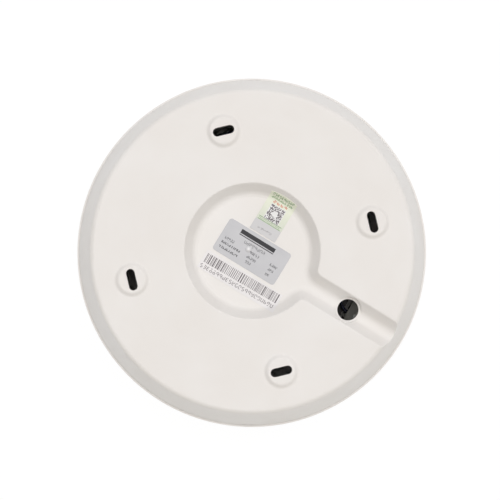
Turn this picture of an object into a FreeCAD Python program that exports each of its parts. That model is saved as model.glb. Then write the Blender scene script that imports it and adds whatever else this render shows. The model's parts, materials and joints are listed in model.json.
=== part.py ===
import FreeCAD, Part
import math
import os

import Sketcher

# A round surface-mount ceiling loudspeaker for a 70 V or 100 V line, in millimetres.
# +Z points up, out of the back and towards the ceiling. +X runs from the centre along the cable channel.
# The origin is the centre of the plane where the four pads touch the ceiling, so everything lies
# below z = 0 and the front rests on z = -overall_height.

DRIVING_DIMENSIONS = (
    # Housing as a whole
    ("outer_diameter", 205.0),
    ("overall_height", 66.0),
    ("parting_depth", 26.0),
    ("wall", 2.5),
    ("rib_thickness", 1.8),
    # Back plate
    ("pad_height", 1.2),
    ("back_face_radius", 93.1),
    ("back_rim_radius", 101.6),
    ("back_edge_round", 3.0),
    ("sloping_wall", 2.67),
    ("recess_radius", 39.2),
    ("recess_depth", 5.8),
    ("recess_draft", 45.0),
    ("recess_floor_round", 5.0),
    ("recess_edge_round", 1.2),
    ("channel_half_width", 8.3),
    ("channel_junction_round", 4.0),
    ("cable_hole_place", 64.7),
    ("cable_hole_radius", 6.15),
    ("cable_hole_seat_radius", 7.6),
    ("pad_circle_diameter", 142.0),
    ("pad_foot_radius", 9.7),
    ("pad_draft", 60.0),
    ("pad_edge_round", 2.5),
    ("slot_width", 5.0),
    ("slot_length", 12.5),
    ("pry_notch_half_width", 2.5),
    ("pry_notch_height", 1.5),
    ("pry_notch_angle", 120.0),
    ("stiffener_height", 5.0),
    # Retaining springs
    ("spring_circle_radius", 84.0),
    ("spring_angle", 22.5),
    ("spring_width", 10.0),
    ("spring_thickness", 0.6),
    ("spring_boss_radius", 4.0),
    ("spring_boss_height", 3.3),
    ("spring_foot_inner_reach", 4.0),
    ("spring_foot_outer_reach", 4.6),
    ("spring_hook_drop", 1.0),
    ("spring_hook_height", 2.4),
    ("spring_tail_drop", 7.0),
    # Labels
    ("label_thickness", 0.2),
    ("rating_label_length", 41.4),
    ("rating_label_width", 20.9),
    ("rating_label_y", 0.3),
    ("rating_label_corner", 1.8),
    ("serial_label_length", 51.0),
    ("serial_label_width", 11.6),
    ("serial_label_x", 3.0),
    ("serial_label_y", 18.4),
    ("security_label_half_width", 8.5),
    ("security_label_start", 11.0),
    ("security_label_end", 36.6),
    ("label_gap", 0.05),
    # Front housing
    ("shoulder_round", 18.0),
    ("front_opening_radius", 81.0),
    ("grille_seat_radius", 78.5),
    ("grille_recess", 1.0),
    ("grille_thickness", 1.0),
    ("baffle_depth", 60.0),
    ("baffle_thickness", 3.0),
    ("baffle_hole_radius", 56.0),
    ("ledge_thickness", 2.5),
    ("tongue_radius", 96.4),
    ("tongue_thickness", 2.4),
    ("tongue_rise", 6.0),
    ("tongue_drop", 4.0),
    ("boss_radius", 4.0),
    ("pilot_radius", 1.3),
    ("pilot_depth", 5.0),
    ("guide_post_radius", 1.3),
    ("guide_post_height", 11.0),
    ("guide_post_inset", 1.5),
    ("driver_boss_height", 3.6),
    ("shoulder_rib_bite", 1.2),
    ("shoulder_rib_rise", 8.0),
    ("transformer_shelf_width", 14.0),
    # Grille
    ("grille_hole_radius", 1.5),
    ("grille_hole_pitch", 5.2),
    ("grille_hole_rings", 14.0),
    ("grille_clearance", 0.2),
    ("cloth_thickness", 0.4),
    # Driver
    ("flange_radius", 65.0),
    ("driver_circle_diameter", 120.0),
    ("screw_angle", 45.0),
    ("gasket_thickness", 1.0),
    ("sheet_metal", 1.0),
    ("surround_centre_radius", 47.6),
    ("surround_roll", 3.4),
    ("surround_thickness", 0.5),
    ("surround_glue_width", 1.6),
    ("surround_flange_width", 2.8),
    ("coil_radius", 12.65),
    ("coil_thickness", 0.4),
    ("coil_reach", 2.0),
    ("former_thickness", 0.2),
    ("former_overhang", 1.5),
    ("former_rear_reach", 5.0),
    ("magnet_radius", 35.0),
    ("magnet_thickness", 9.0),
    ("plate_radius", 33.0),
    ("plate_thickness", 4.0),
    ("pole_radius", 12.0),
    ("air_gap", 0.85),
    ("magnet_bore_clearance", 3.0),
    ("magnet_back_depth", 15.0),
    ("basket_bore_clearance", 1.85),
    ("basket_neck_radius", 25.6),
    ("spider_shelf_radius", 27.1),
    ("spider_radius", 32.6),
    ("spider_depth", 7.0),
    ("basket_shoulder_radius", 45.9),
    ("basket_shoulder_depth", 15.2),
    ("window_inner_radius", 35.0),
    ("window_outer_radius", 45.5),
    ("window_half_angle", 20.0),
    ("spider_first_wave", 15.0),
    ("spider_last_wave", 26.4),
    ("spider_wave_height", 1.1),
    ("spider_thickness", 0.5),
    ("cone_neck_depth", 10.0),
    ("cone_thickness", 0.6),
    ("glue_gap", 0.05),
    ("dust_cap_radius", 14.2),
    ("dust_cap_offset", 1.75),
    ("dust_cap_bulge", 20.0),
    ("dust_cap_thickness", 0.4),
    ("tag_board_x", 54.2),
    ("tag_offset", 7.0),
    ("tag_spacing", 8.0),
    ("tag_board_thickness", 1.4),
    ("tag_board_height", 10.0),
    ("tag_width", 4.0),
    ("tag_thickness", 0.6),
    ("tag_rise", 3.0),
    # Line transformer
    ("core_length", 41.0),
    ("core_height", 34.0),
    ("core_stack", 16.0),
    ("core_x", 75.0),
    ("core_leg", 6.5),
    ("core_window", 7.5),
    ("bobbin_overhang", 8.0),
    ("bobbin_wall", 1.0),
    ("bobbin_clearance", 0.2),
    ("winding_inset", 0.6),
    ("winding_corner", 3.0),
    ("strap_inset", 1.0),
    ("ear_length", 4.0),
    ("shelf_height", 7.0),
    ("ear_reach", 26.5),
    # Terminal block
    ("block_x", 73.0),
    ("block_length", 34.0),
    ("block_width", 12.0),
    ("block_height", 12.0),
    ("block_shelf", 3.0),
    ("pole_pitch", 8.0),
    ("wire_way_width", 4.4),
    ("wire_way_height", 5.0),
    ("clamp_length", 8.0),
    ("clamp_bore_radius", 1.3),
    ("clamp_screw_radius", 1.8),
    ("clamp_screw_length", 3.2),
    ("clamp_screw_groove", 0.6),
    ("block_ear_height", 4.0),
    ("block_ear_length", 5.6),
    ("block_ear_offset", 0.2),
    # Leads and screws
    ("lead_radius", 0.9),
    ("tinsel_radius", 0.5),
    ("screw_shank_radius", 1.25),
    ("screw_head_radius", 2.9),
    ("screw_head_height", 1.9),
    ("screw_clearance", 0.3),
    ("long_screw_length", 6.5),
    # How far a cut runs on past the piece that it cuts, and how deep an added form is sunk in its piece
    ("overrun", 3.0),
    ("overlap", 0.5),
)

doc = FreeCAD.newDocument("ceiling_loudspeaker")
sheet = doc.addObject("Spreadsheet::Sheet", "Dimensions")
for row, (alias, number) in enumerate(DRIVING_DIMENSIONS, start=1):
    sheet.set("A%d" % row, alias)
    sheet.set("B%d" % row, str(number))
    sheet.setAlias("B%d" % row, alias)
doc.recompute()


class Size:
    """A length or an angle: its number now, and the expression that works it out from the sheet."""

    def __init__(self, number, text):
        self.number = number
        self.text = text

    def combine(self, sign, other, number):
        return Size(number, "(%s %s %s)" % (self.text, sign, other.text))

    def __add__(self, other):
        other = size(other)
        return self.combine("+", other, self.number + other.number)

    def __sub__(self, other):
        other = size(other)
        return self.combine("-", other, self.number - other.number)

    def __mul__(self, other):
        other = size(other)
        return self.combine("*", other, self.number * other.number)

    def __truediv__(self, other):
        other = size(other)
        return self.combine("/", other, self.number / other.number)

    def __radd__(self, other):
        return size(other) + self

    def __rsub__(self, other):
        return size(other) - self

    def __rmul__(self, other):
        return size(other) * self

    def __neg__(self):
        return Size(-self.number, "(0 - %s)" % self.text)


def size(value):
    """A Size as it is, or a plain number as a Size."""
    if isinstance(value, Size):
        return value
    return Size(float(value), "(%r)" % float(value))


class Cells:
    """The sheet's cells, each read by its alias as a Size."""

    def __getattr__(self, alias):
        return Size(float(sheet.get(alias)), "Dimensions." + alias)


dim = Cells()


def cosine(degrees):
    degrees = size(degrees)
    return Size(math.cos(math.radians(degrees.number)), "cos(%s)" % degrees.text)


def sine(degrees):
    degrees = size(degrees)
    return Size(math.sin(math.radians(degrees.number)), "sin(%s)" % degrees.text)


def root(value):
    return Size(math.sqrt(value.number), "sqrt(%s)" % value.text)


def polar(radius, degrees):
    return radius * cosine(degrees), radius * sine(degrees)


# ---------------------------------------------------------------- sketches and features


def new_body(label, several_solids=False):
    body = doc.addObject("PartDesign::Body", label)
    body.Label = label
    body.AllowCompound = several_solids
    return body


def new_sketch(body, name, plane, offset=0):
    """An empty sketch on one of the body's origin planes, moved along that plane's normal."""
    sketch = body.newObject("Sketcher::SketchObject", name)
    support = [feature for feature in body.Origin.OriginFeatures if feature.Role == plane][0]
    sketch.AttachmentSupport = [(support, "")]
    sketch.MapMode = "FlatFace"
    sketch.setExpression("AttachmentOffset.Base.z", size(offset).text)
    return sketch


def bind(sketch, kind, references, value):
    """Adds a dimension to the sketch and binds it to the sheet."""
    value = size(value)
    index = sketch.addConstraint(Sketcher.Constraint(kind, *references, value.number))
    sketch.setExpression("Constraints[%d]" % index, value.text)


def fix_point(sketch, edge, end, x, y):
    """Holds a point at (x, y): a coordinate that is a plain 0 lies on the sketch's axis."""
    if isinstance(x, Size) or x:
        bind(sketch, "DistanceX", (-1, 1, edge, end), x)
    else:
        sketch.addConstraint(Sketcher.Constraint("PointOnObject", edge, end, -2))
    if isinstance(y, Size) or y:
        bind(sketch, "DistanceY", (-1, 1, edge, end), y)
    else:
        sketch.addConstraint(Sketcher.Constraint("PointOnObject", edge, end, -1))


def arc_between(start, finish, radius):
    """The short arc from start to finish: it turns left for a positive radius, right for a negative one."""
    middle = (start + finish) * 0.5
    along = finish - start
    left = FreeCAD.Vector(-along.y, along.x, 0).normalize()
    reach = math.sqrt(max(radius * radius - along.Length ** 2 / 4, 0.0))
    centre = middle + left * math.copysign(reach, radius)
    first, last = (start, finish) if radius > 0 else (finish, start)
    angles = [math.atan2(point.y - centre.y, point.x - centre.x) for point in (first, last)]
    circle = Part.Circle(centre, FreeCAD.Vector(0, 0, 1), abs(radius))
    return Part.ArcOfCircle(circle, angles[0], angles[1])


def outline(sketch, corners):
    """Draws a closed outline through corners: (x, y), or (x, y, radius) where an arc leaves the corner."""
    points = [FreeCAD.Vector(size(corner[0]).number, size(corner[1]).number, 0) for corner in corners]
    edges = []
    starts = []
    for number, corner in enumerate(corners):
        start = points[number]
        finish = points[(number + 1) % len(points)]
        if len(corner) == 3:
            radius = size(corner[2])
            edges.append(sketch.addGeometry(arc_between(start, finish, radius.number), False))
            starts.append(1 if radius.number > 0 else 2)
        else:
            edges.append(sketch.addGeometry(Part.LineSegment(start, finish), False))
            starts.append(1)
    for number, corner in enumerate(corners):
        following = (number + 1) % len(corners)
        join = (edges[number], 3 - starts[number], edges[following], starts[following])
        sketch.addConstraint(Sketcher.Constraint("Coincident", *join))
    for number, corner in enumerate(corners):
        fix_point(sketch, edges[number], starts[number], corner[0], corner[1])
        if len(corner) == 3:
            radius = size(corner[2])
            bind(sketch, "Radius", (edges[number],), radius if radius.number > 0 else -radius)


def rectangle(sketch, x_low, y_low, x_high, y_high):
    outline(sketch, [(x_low, y_low), (x_high, y_low), (x_high, y_high), (x_low, y_high)])


def turned_rectangle(sketch, degrees, inner, outer, half_width):
    """A rectangle whose long sides run outwards at an angle, from one radius to another."""
    corners = []
    square = ((inner, -half_width), (outer, -half_width), (outer, half_width), (inner, half_width))
    for along, across in square:
        x = along * cosine(degrees) - across * sine(degrees)
        y = along * sine(degrees) + across * cosine(degrees)
        corners.append((x, y))
    outline(sketch, corners)


def circles(sketch, centres, radius):
    radius = size(radius)
    for x, y in centres:
        centre = FreeCAD.Vector(size(x).number, size(y).number, 0)
        circle = Part.Circle(centre, FreeCAD.Vector(0, 0, 1), radius.number)
        edge = sketch.addGeometry(circle, False)
        fix_point(sketch, edge, 3, x, y)
        bind(sketch, "Radius", (edge,), radius)


def slot(sketch, centre, degrees, length, width):
    """A round-ended slot whose long axis lies at the angle given."""
    half_run = (length - width) / 2
    radius = width / 2
    ends = []
    for way in (1, -1):
        x = centre[0] + half_run * way * cosine(degrees)
        y = centre[1] + half_run * way * sine(degrees)
        ends.append((x, y))
    middles = [FreeCAD.Vector(x.number, y.number, 0) for x, y in ends]
    turn = math.radians(size(degrees).number)
    side = FreeCAD.Vector(-math.sin(turn), math.cos(turn), 0) * radius.number
    up = FreeCAD.Vector(0, 0, 1)
    caps = []
    for middle, first in ((middles[0], turn - math.pi / 2), (middles[1], turn + math.pi / 2)):
        arc = Part.ArcOfCircle(Part.Circle(middle, up, radius.number), first, first + math.pi)
        caps.append(sketch.addGeometry(arc, False))
    left = sketch.addGeometry(Part.LineSegment(middles[0] + side, middles[1] + side), False)
    right = sketch.addGeometry(Part.LineSegment(middles[1] - side, middles[0] - side), False)
    joins = ((caps[0], 2, left, 1), (left, 2, caps[1], 1), (caps[1], 2, right, 1), (right, 2, caps[0], 1))
    for join in joins:
        sketch.addConstraint(Sketcher.Constraint("Tangent", *join))
    for cap, (x, y) in zip(caps, ends):
        fix_point(sketch, cap, 3, x, y)
    sketch.addConstraint(Sketcher.Constraint("Equal", caps[0], caps[1]))
    bind(sketch, "Radius", (caps[0],), radius)


def add_feature(body, kind, name, sketch):
    feature = body.newObject("PartDesign::" + kind, name)
    feature.Profile = sketch
    sketch.Visibility = False
    return feature


def pad(body, name, sketch, length, downwards=False, both_ways=False, draft=None):
    feature = add_feature(body, "Pad", name, sketch)
    feature.setExpression("Length", size(length).text)
    feature.Reversed = downwards
    feature.Midplane = both_ways
    if draft is not None:
        feature.setExpression("TaperAngle", size(draft).text)
    return feature


def pocket(body, name, sketch, depth, upwards=False, both_ways=False, draft=None):
    """Cuts the sketch into the body, against the sketch plane's normal unless the cut is upwards."""
    feature = add_feature(body, "Pocket", name, sketch)
    feature.setExpression("Length", size(depth).text)
    feature.Reversed = upwards
    feature.Midplane = both_ways
    if draft is not None:
        feature.setExpression("TaperAngle", size(draft).text)
    return feature


def revolve(body, name, sketch, cut=False):
    """Turns the sketch all the way round its own vertical axis."""
    feature = add_feature(body, "Groove" if cut else "Revolution", name, sketch)
    feature.ReferenceAxis = (sketch, ["V_Axis"])
    feature.Angle = 360.0
    return feature


def turned(label, corners):
    """A body of revolution about the Z axis, from its outline as (radius, height) corners."""
    body = new_body(label)
    sketch = new_sketch(body, label + "_profile", "XZ_Plane")
    outline(sketch, corners)
    revolve(body, label + "_turned", sketch)
    return body


def fillet(body, name, radius, chosen):
    """Rounds each edge of the body so far that the given test picks."""
    doc.recompute()
    base = body.Tip
    names = ["Edge%d" % number for number, edge in enumerate(base.Shape.Edges, start=1) if chosen(edge)]
    feature = body.newObject("PartDesign::Fillet", name)
    feature.Base = (base, names)
    feature.setExpression("Radius", size(radius).text)
    return feature


def lies_at(edge, height):
    """Whether the edge lies wholly in the horizontal plane at that height."""
    box = edge.BoundBox
    return abs(box.ZMin - height) < 1e-4 and abs(box.ZMax - height) < 1e-4


def is_ring(edge, radius, height, slack=1e-3):
    """Whether the edge is a circle or arc of about that radius round the Z axis, at that height."""
    if not lies_at(edge, height.number):
        return False
    return all(abs(math.hypot(vertex.X, vertex.Y) - radius.number) < slack for vertex in edge.Vertexes)


# ---------------------------------------------------------------- back plate


def recess_outline(sketch, offset):
    """The central recess with the cable channel that leaves it along +X, widened by the offset."""
    radius = dim.recess_radius + offset
    half_width = dim.channel_half_width + offset
    corner = dim.channel_junction_round - offset
    far_end = dim.outer_diameter / 2 + dim.overrun + offset
    corner_x = root((radius + corner) * (radius + corner) - (half_width + corner) * (half_width + corner))
    touch = radius / (radius + corner)
    touch_x = corner_x * touch
    touch_y = (half_width + corner) * touch
    outline(sketch, [
        (far_end, -half_width),
        (far_end, half_width),
        (corner_x, half_width, -corner),
        (touch_x, touch_y, radius),
        (-radius, 0, radius),
        (touch_x, -touch_y, -corner),
        (corner_x, -half_width),
    ])


def surrounds_a_pad(edge):
    """Whether the edge is a circle round the middle of one of the ceiling pads."""
    if not hasattr(edge.Curve, "Center"):
        return False
    from_origin = math.hypot(edge.Curve.Center.x, edge.Curve.Center.y)
    is_small = edge.Curve.Radius < dim.pad_foot_radius.number + 1
    return is_small and abs(from_origin - dim.pad_circle_diameter.number / 2) < 1e-3


def build_back_plate():
    body = new_body("back_plate")
    top = -dim.pad_height
    inside = top - dim.wall
    parting = -dim.parting_depth
    spread = (dim.back_rim_radius - dim.back_face_radius) / (dim.parting_depth - dim.pad_height)
    corner_radius = dim.back_face_radius + spread * dim.wall - dim.sloping_wall

    profile = new_sketch(body, "back_shell_profile", "XZ_Plane")
    outline(profile, [
        (0, top),
        (dim.back_face_radius, top),
        (dim.back_rim_radius, parting),
        (dim.back_rim_radius - dim.sloping_wall, parting),
        (corner_radius, inside),
        (0, inside),
    ])
    revolve(body, "back_shell", profile)

    backing = new_sketch(body, "recess_backing_outline", "XY_Plane", top)
    recess_outline(backing, dim.wall / cosine(dim.recess_draft))
    pad(
        body, "recess_backing", backing, dim.recess_depth + dim.wall, downwards=True,
        draft=-dim.recess_draft,
    )
    floor = top - dim.recess_depth
    boss = new_sketch(body, "cable_hole_boss_circle", "XY_Plane", top - dim.wall / 2)
    circles(boss, [(dim.cable_hole_place, 0)], dim.cable_hole_seat_radius + dim.wall)
    pad(body, "cable_hole_boss", boss, dim.recess_depth + dim.wall / 2, downwards=True)

    recess = new_sketch(body, "recess_outline", "XY_Plane", top)
    recess_outline(recess, size(0))
    pocket(body, "recess_and_channel", recess, dim.recess_depth, draft=-dim.recess_draft)
    fillet(body, "recess_floor_rounding", dim.recess_floor_round, lambda edge: lies_at(edge, floor.number))
    channel_end = dim.outer_diameter.number / 2
    fillet(
        body, "recess_edge_rounding", dim.recess_edge_round,
        lambda edge: lies_at(edge, top.number) and not is_ring(edge, dim.back_face_radius, top, 0.1)
        and edge.BoundBox.XMin < channel_end,
    )

    # One cut trims the channel's backing to the sloping side and rounds the back edge.
    slant = root(spread * spread + 1)
    tangent_run = dim.back_edge_round * (slant - spread)
    beyond = dim.outer_diameter
    trim = new_sketch(body, "side_and_edge_profile", "XZ_Plane")
    outline(trim, [
        (dim.back_face_radius - tangent_run, top, -dim.back_edge_round),
        (dim.back_face_radius + tangent_run * spread / slant, top - tangent_run / slant),
        (dim.back_rim_radius, parting),
        (beyond, parting),
        (beyond, top + dim.overrun),
        (dim.back_face_radius - tangent_run, top + dim.overrun),
    ])
    revolve(body, "side_and_edge_trim", trim, cut=True)

    seat = new_sketch(body, "cable_hole_seat_circle", "XY_Plane", top)
    circles(seat, [(dim.cable_hole_place, 0)], dim.cable_hole_seat_radius)
    pocket(body, "cable_hole_seat", seat, dim.recess_depth)
    hole = new_sketch(body, "cable_hole_circle", "XY_Plane", top)
    circles(hole, [(dim.cable_hole_place, 0)], dim.cable_hole_radius)
    pocket(body, "cable_hole", hole, dim.recess_depth + dim.wall * 2)

    quarter_turns = [45.0 + 90.0 * turn for turn in range(4)]
    pad_centres = [polar(dim.pad_circle_diameter / 2, degrees) for degrees in quarter_turns]
    pads = new_sketch(body, "ceiling_pad_circles", "XY_Plane", top)
    circles(pads, pad_centres, dim.pad_foot_radius)
    pad(body, "ceiling_pads", pads, dim.pad_height, draft=-dim.pad_draft)
    fillet(
        body, "ceiling_pad_rounding", dim.pad_edge_round,
        lambda edge: (lies_at(edge, 0.0) or lies_at(edge, top.number)) and surrounds_a_pad(edge),
    )
    slots = new_sketch(body, "ceiling_slot_outlines", "XY_Plane")
    for degrees, centre in zip(quarter_turns, pad_centres):
        slot(slots, centre, degrees + 90.0, dim.slot_length, dim.slot_width)
    pocket(body, "ceiling_slots", slots, dim.pad_height + dim.wall * 2)

    notches = new_sketch(body, "pry_notch_outlines", "XY_Plane", parting)
    for turn in (0.0, 180.0):
        turned_rectangle(
            notches, dim.pry_notch_angle + turn, dim.back_rim_radius - dim.sloping_wall - dim.overrun,
            dim.back_rim_radius + dim.overrun, dim.pry_notch_half_width,
        )
    pocket(body, "pry_notches", notches, dim.pry_notch_height, upwards=True)

    spring_turns = [90.0 * turn for turn in range(4)]
    boss_centres = [polar(dim.spring_circle_radius, dim.spring_angle + turn) for turn in spring_turns]
    bosses = new_sketch(body, "spring_boss_circles", "XY_Plane", inside + dim.overlap)
    circles(bosses, boss_centres, dim.spring_boss_radius)
    pad(body, "spring_bosses", bosses, dim.spring_boss_height + dim.overlap, downwards=True)
    stiffeners = new_sketch(body, "stiffener_outlines", "XY_Plane", inside + dim.overlap)
    for turn in spring_turns:
        turned_rectangle(
            stiffeners, dim.spring_angle + turn + 45.0, dim.recess_radius,
            dim.back_face_radius - dim.overlap * 2, dim.rib_thickness / 2,
        )
    pad(body, "stiffeners", stiffeners, dim.stiffener_height + dim.overlap, downwards=True)
    pilots = new_sketch(body, "spring_pilot_circles", "XY_Plane", inside - dim.spring_boss_height)
    circles(pilots, boss_centres, dim.pilot_radius)
    pocket(body, "spring_pilots", pilots, dim.spring_boss_height + dim.wall / 3, upwards=True)
    return body


def build_retaining_springs():
    """Four steel leaf springs that hang from the back plate and hook under the front housing's tongue."""
    foot = -dim.pad_height - dim.wall - dim.spring_boss_height
    thickness = dim.spring_thickness
    foot_inner = dim.spring_circle_radius - dim.spring_foot_inner_reach
    knee = dim.spring_circle_radius + dim.spring_foot_outer_reach
    hook_height = -dim.parting_depth - dim.tongue_drop - dim.spring_hook_drop
    hook_root = dim.tongue_radius - dim.tongue_thickness - thickness * 2.5
    hook_tip = dim.tongue_radius - thickness
    tip_height = hook_height - dim.spring_hook_height
    tail = hook_root - dim.spring_hook_drop
    tail_height = hook_height - dim.spring_tail_drop
    springs = []
    for number in range(4):
        label = "retaining_spring_%d" % (number + 1)
        body = new_body(label)
        strip = new_sketch(body, label + "_strip", "XZ_Plane")
        outline(strip, [
            (foot_inner, foot),
            (foot_inner, foot - thickness),
            (knee - thickness, foot - thickness),
            (hook_root, hook_height),
            (hook_tip, tip_height),
            (tail, tail_height),
            (tail + thickness, tail_height - thickness / 2),
            (hook_tip + thickness, tip_height),
            (hook_root + thickness, hook_height),
            (knee, foot),
        ])
        pad(body, label + "_leaf", strip, dim.spring_width, both_ways=True)
        hole = new_sketch(body, label + "_hole_circle", "XY_Plane", foot - thickness * 2)
        circles(hole, [(dim.spring_circle_radius, 0)], dim.screw_shank_radius + dim.screw_clearance)
        pocket(body, label + "_hole", hole, thickness * 3, upwards=True)
        body.setExpression("Placement.Rotation.Angle", (dim.spring_angle + 90.0 * number).text)
        springs.append(body)
    return springs


def screws(label, places, head_height, shank_length, head_up):
    """Pan-head screws with a cross recess: head_height is the height of the face that the heads bear on."""
    body = new_body(label, several_solids=True)
    heads = new_sketch(body, label + "_head_circles", "XY_Plane", head_height)
    circles(heads, places, dim.screw_head_radius)
    pad(body, label + "_heads", heads, dim.screw_head_height, downwards=not head_up)
    shanks = new_sketch(body, label + "_shank_circles", "XY_Plane", head_height)
    circles(shanks, places, dim.screw_shank_radius)
    pad(body, label + "_shanks", shanks, shank_length, downwards=head_up)
    outer = dim.screw_head_height if head_up else -dim.screw_head_height
    bar_length = dim.screw_head_radius * 1.2
    bar_width = bar_length / 5
    for turn in (0.0, 90.0):
        name = "%s_recess_%d" % (label, turn)
        bars = new_sketch(body, name + "_bars", "XY_Plane", head_height + outer)
        for place in places:
            slot(bars, place, turn, bar_length, bar_width)
        pocket(body, name, bars, dim.screw_head_height / 2, upwards=not head_up)
    return body


def build_spring_screws():
    places = [polar(dim.spring_circle_radius, dim.spring_angle + 90.0 * number) for number in range(4)]
    bearing = -dim.pad_height - dim.wall - dim.spring_boss_height - dim.spring_thickness
    shank_length = dim.spring_boss_height + dim.spring_thickness * 1.5
    return screws("spring_screws", places, bearing, shank_length, head_up=False)


# ---------------------------------------------------------------- labels on the recess floor


def rounded_rectangle(sketch, x_low, y_low, x_high, y_high, corner):
    outline(sketch, [
        (x_low + corner, y_low),
        (x_high - corner, y_low, corner),
        (x_high, y_low + corner),
        (x_high, y_high - corner, corner),
        (x_high - corner, y_high),
        (x_low + corner, y_high, corner),
        (x_low, y_high - corner),
        (x_low, y_low + corner, corner),
    ])


def build_rating_label():
    body = new_body("rating_label")
    floor = -dim.pad_height - dim.recess_depth
    shape = new_sketch(body, "rating_label_outline", "XY_Plane", floor)
    half_length = dim.rating_label_length / 2
    half_width = dim.rating_label_width / 2
    rounded_rectangle(
        shape, -half_length, -dim.rating_label_y - half_width,
        half_length, -dim.rating_label_y + half_width, dim.rating_label_corner,
    )
    pad(body, "rating_label_sheet", shape, dim.label_thickness)
    return body


def recess_dish(body, start_radius, end_radius):
    """A thin dish that lines the recess: its floor, the round at the floor's edge and the sloping wall."""
    gap = dim.label_gap
    floor = -dim.pad_height - dim.recess_depth
    draft = dim.recess_draft
    floor_radius = dim.recess_radius - dim.recess_depth * sine(draft) / cosine(draft)
    half_turn = (90.0 - draft) / 2
    tangent_run = dim.recess_floor_round * sine(half_turn) / cosine(half_turn)
    thickness = dim.label_thickness
    outer_round = dim.recess_floor_round - gap
    bend_low = floor_radius - tangent_run
    bend_high = floor_radius + tangent_run * sine(draft)
    bend_height = floor + tangent_run * cosine(draft)
    climb = end_radius - bend_high
    top_height = bend_height + climb * cosine(draft) / sine(draft)
    profile = new_sketch(body, body.Label + "_profile", "XZ_Plane")
    near = (gap * cosine(draft), gap * sine(draft))
    far = ((thickness + gap) * cosine(draft), (thickness + gap) * sine(draft))
    outline(profile, [
        (start_radius, floor + gap),
        (bend_low, floor + gap, outer_round),
        (bend_high - near[0], bend_height + near[1]),
        (end_radius - near[0], top_height + near[1]),
        (end_radius - far[0], top_height + far[1]),
        (bend_high - far[0], bend_height + far[1], thickness - outer_round),
        (bend_low, floor + gap + thickness),
        (start_radius, floor + gap + thickness),
    ])
    revolve(body, body.Label + "_dish", profile)


def keep_rectangle(body, low_x, low_y, high_x, high_y):
    """Cuts the dish down to a rectangle seen from above."""
    around = new_sketch(body, body.Label + "_surround", "XY_Plane")
    circles(around, [(0, 0)], dim.recess_radius + dim.overrun)
    rectangle(around, low_x, low_y, high_x, high_y)
    pocket(body, body.Label + "_cut", around, dim.recess_depth + dim.wall + dim.overrun)


def build_serial_label():
    """A long sticker whose outer corner runs on to the round at the floor's edge."""
    body = new_body("serial_label")
    half_length = dim.serial_label_length / 2
    half_width = dim.serial_label_width / 2
    recess_dish(body, half_width, dim.recess_radius - dim.overrun / 2)
    keep_rectangle(
        body, dim.serial_label_x - half_length, -dim.serial_label_y - half_width,
        dim.serial_label_x + half_length, -dim.serial_label_y + half_width,
    )
    return body


def build_security_label():
    """A narrow sticker whose outer end runs up the sloping wall."""
    body = new_body("security_label")
    half_width = dim.security_label_half_width
    recess_dish(body, dim.security_label_start - dim.overrun, dim.security_label_end)
    keep_rectangle(
        body, -half_width, dim.security_label_start, half_width, dim.recess_radius + dim.overrun / 2,
    )
    return body


# ---------------------------------------------------------------- front housing


def guide_post_centres():
    """Posts in pairs on the baffle, each pair with the leads between its two posts."""
    inner = dim.flange_radius + dim.guide_post_inset * 2
    outer = dim.front_opening_radius - dim.guide_post_inset
    centres = []
    for degrees in (75.5, 100.5, 125.5):
        centres.append(polar(inner, degrees))
        centres.append(polar(outer, degrees))
    return centres


def driver_screw_centres():
    return [polar(dim.driver_circle_diameter / 2, dim.screw_angle + 90.0 * number) for number in range(4)]


def transformer_screw_centres():
    return [(-dim.core_x, -dim.ear_reach), (-dim.core_x, dim.ear_reach)]


def block_screw_centres():
    half_pitch = (dim.block_length - dim.block_ear_length) / 2 + dim.block_ear_offset
    return [(dim.block_x, -half_pitch), (dim.block_x, half_pitch)]


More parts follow.
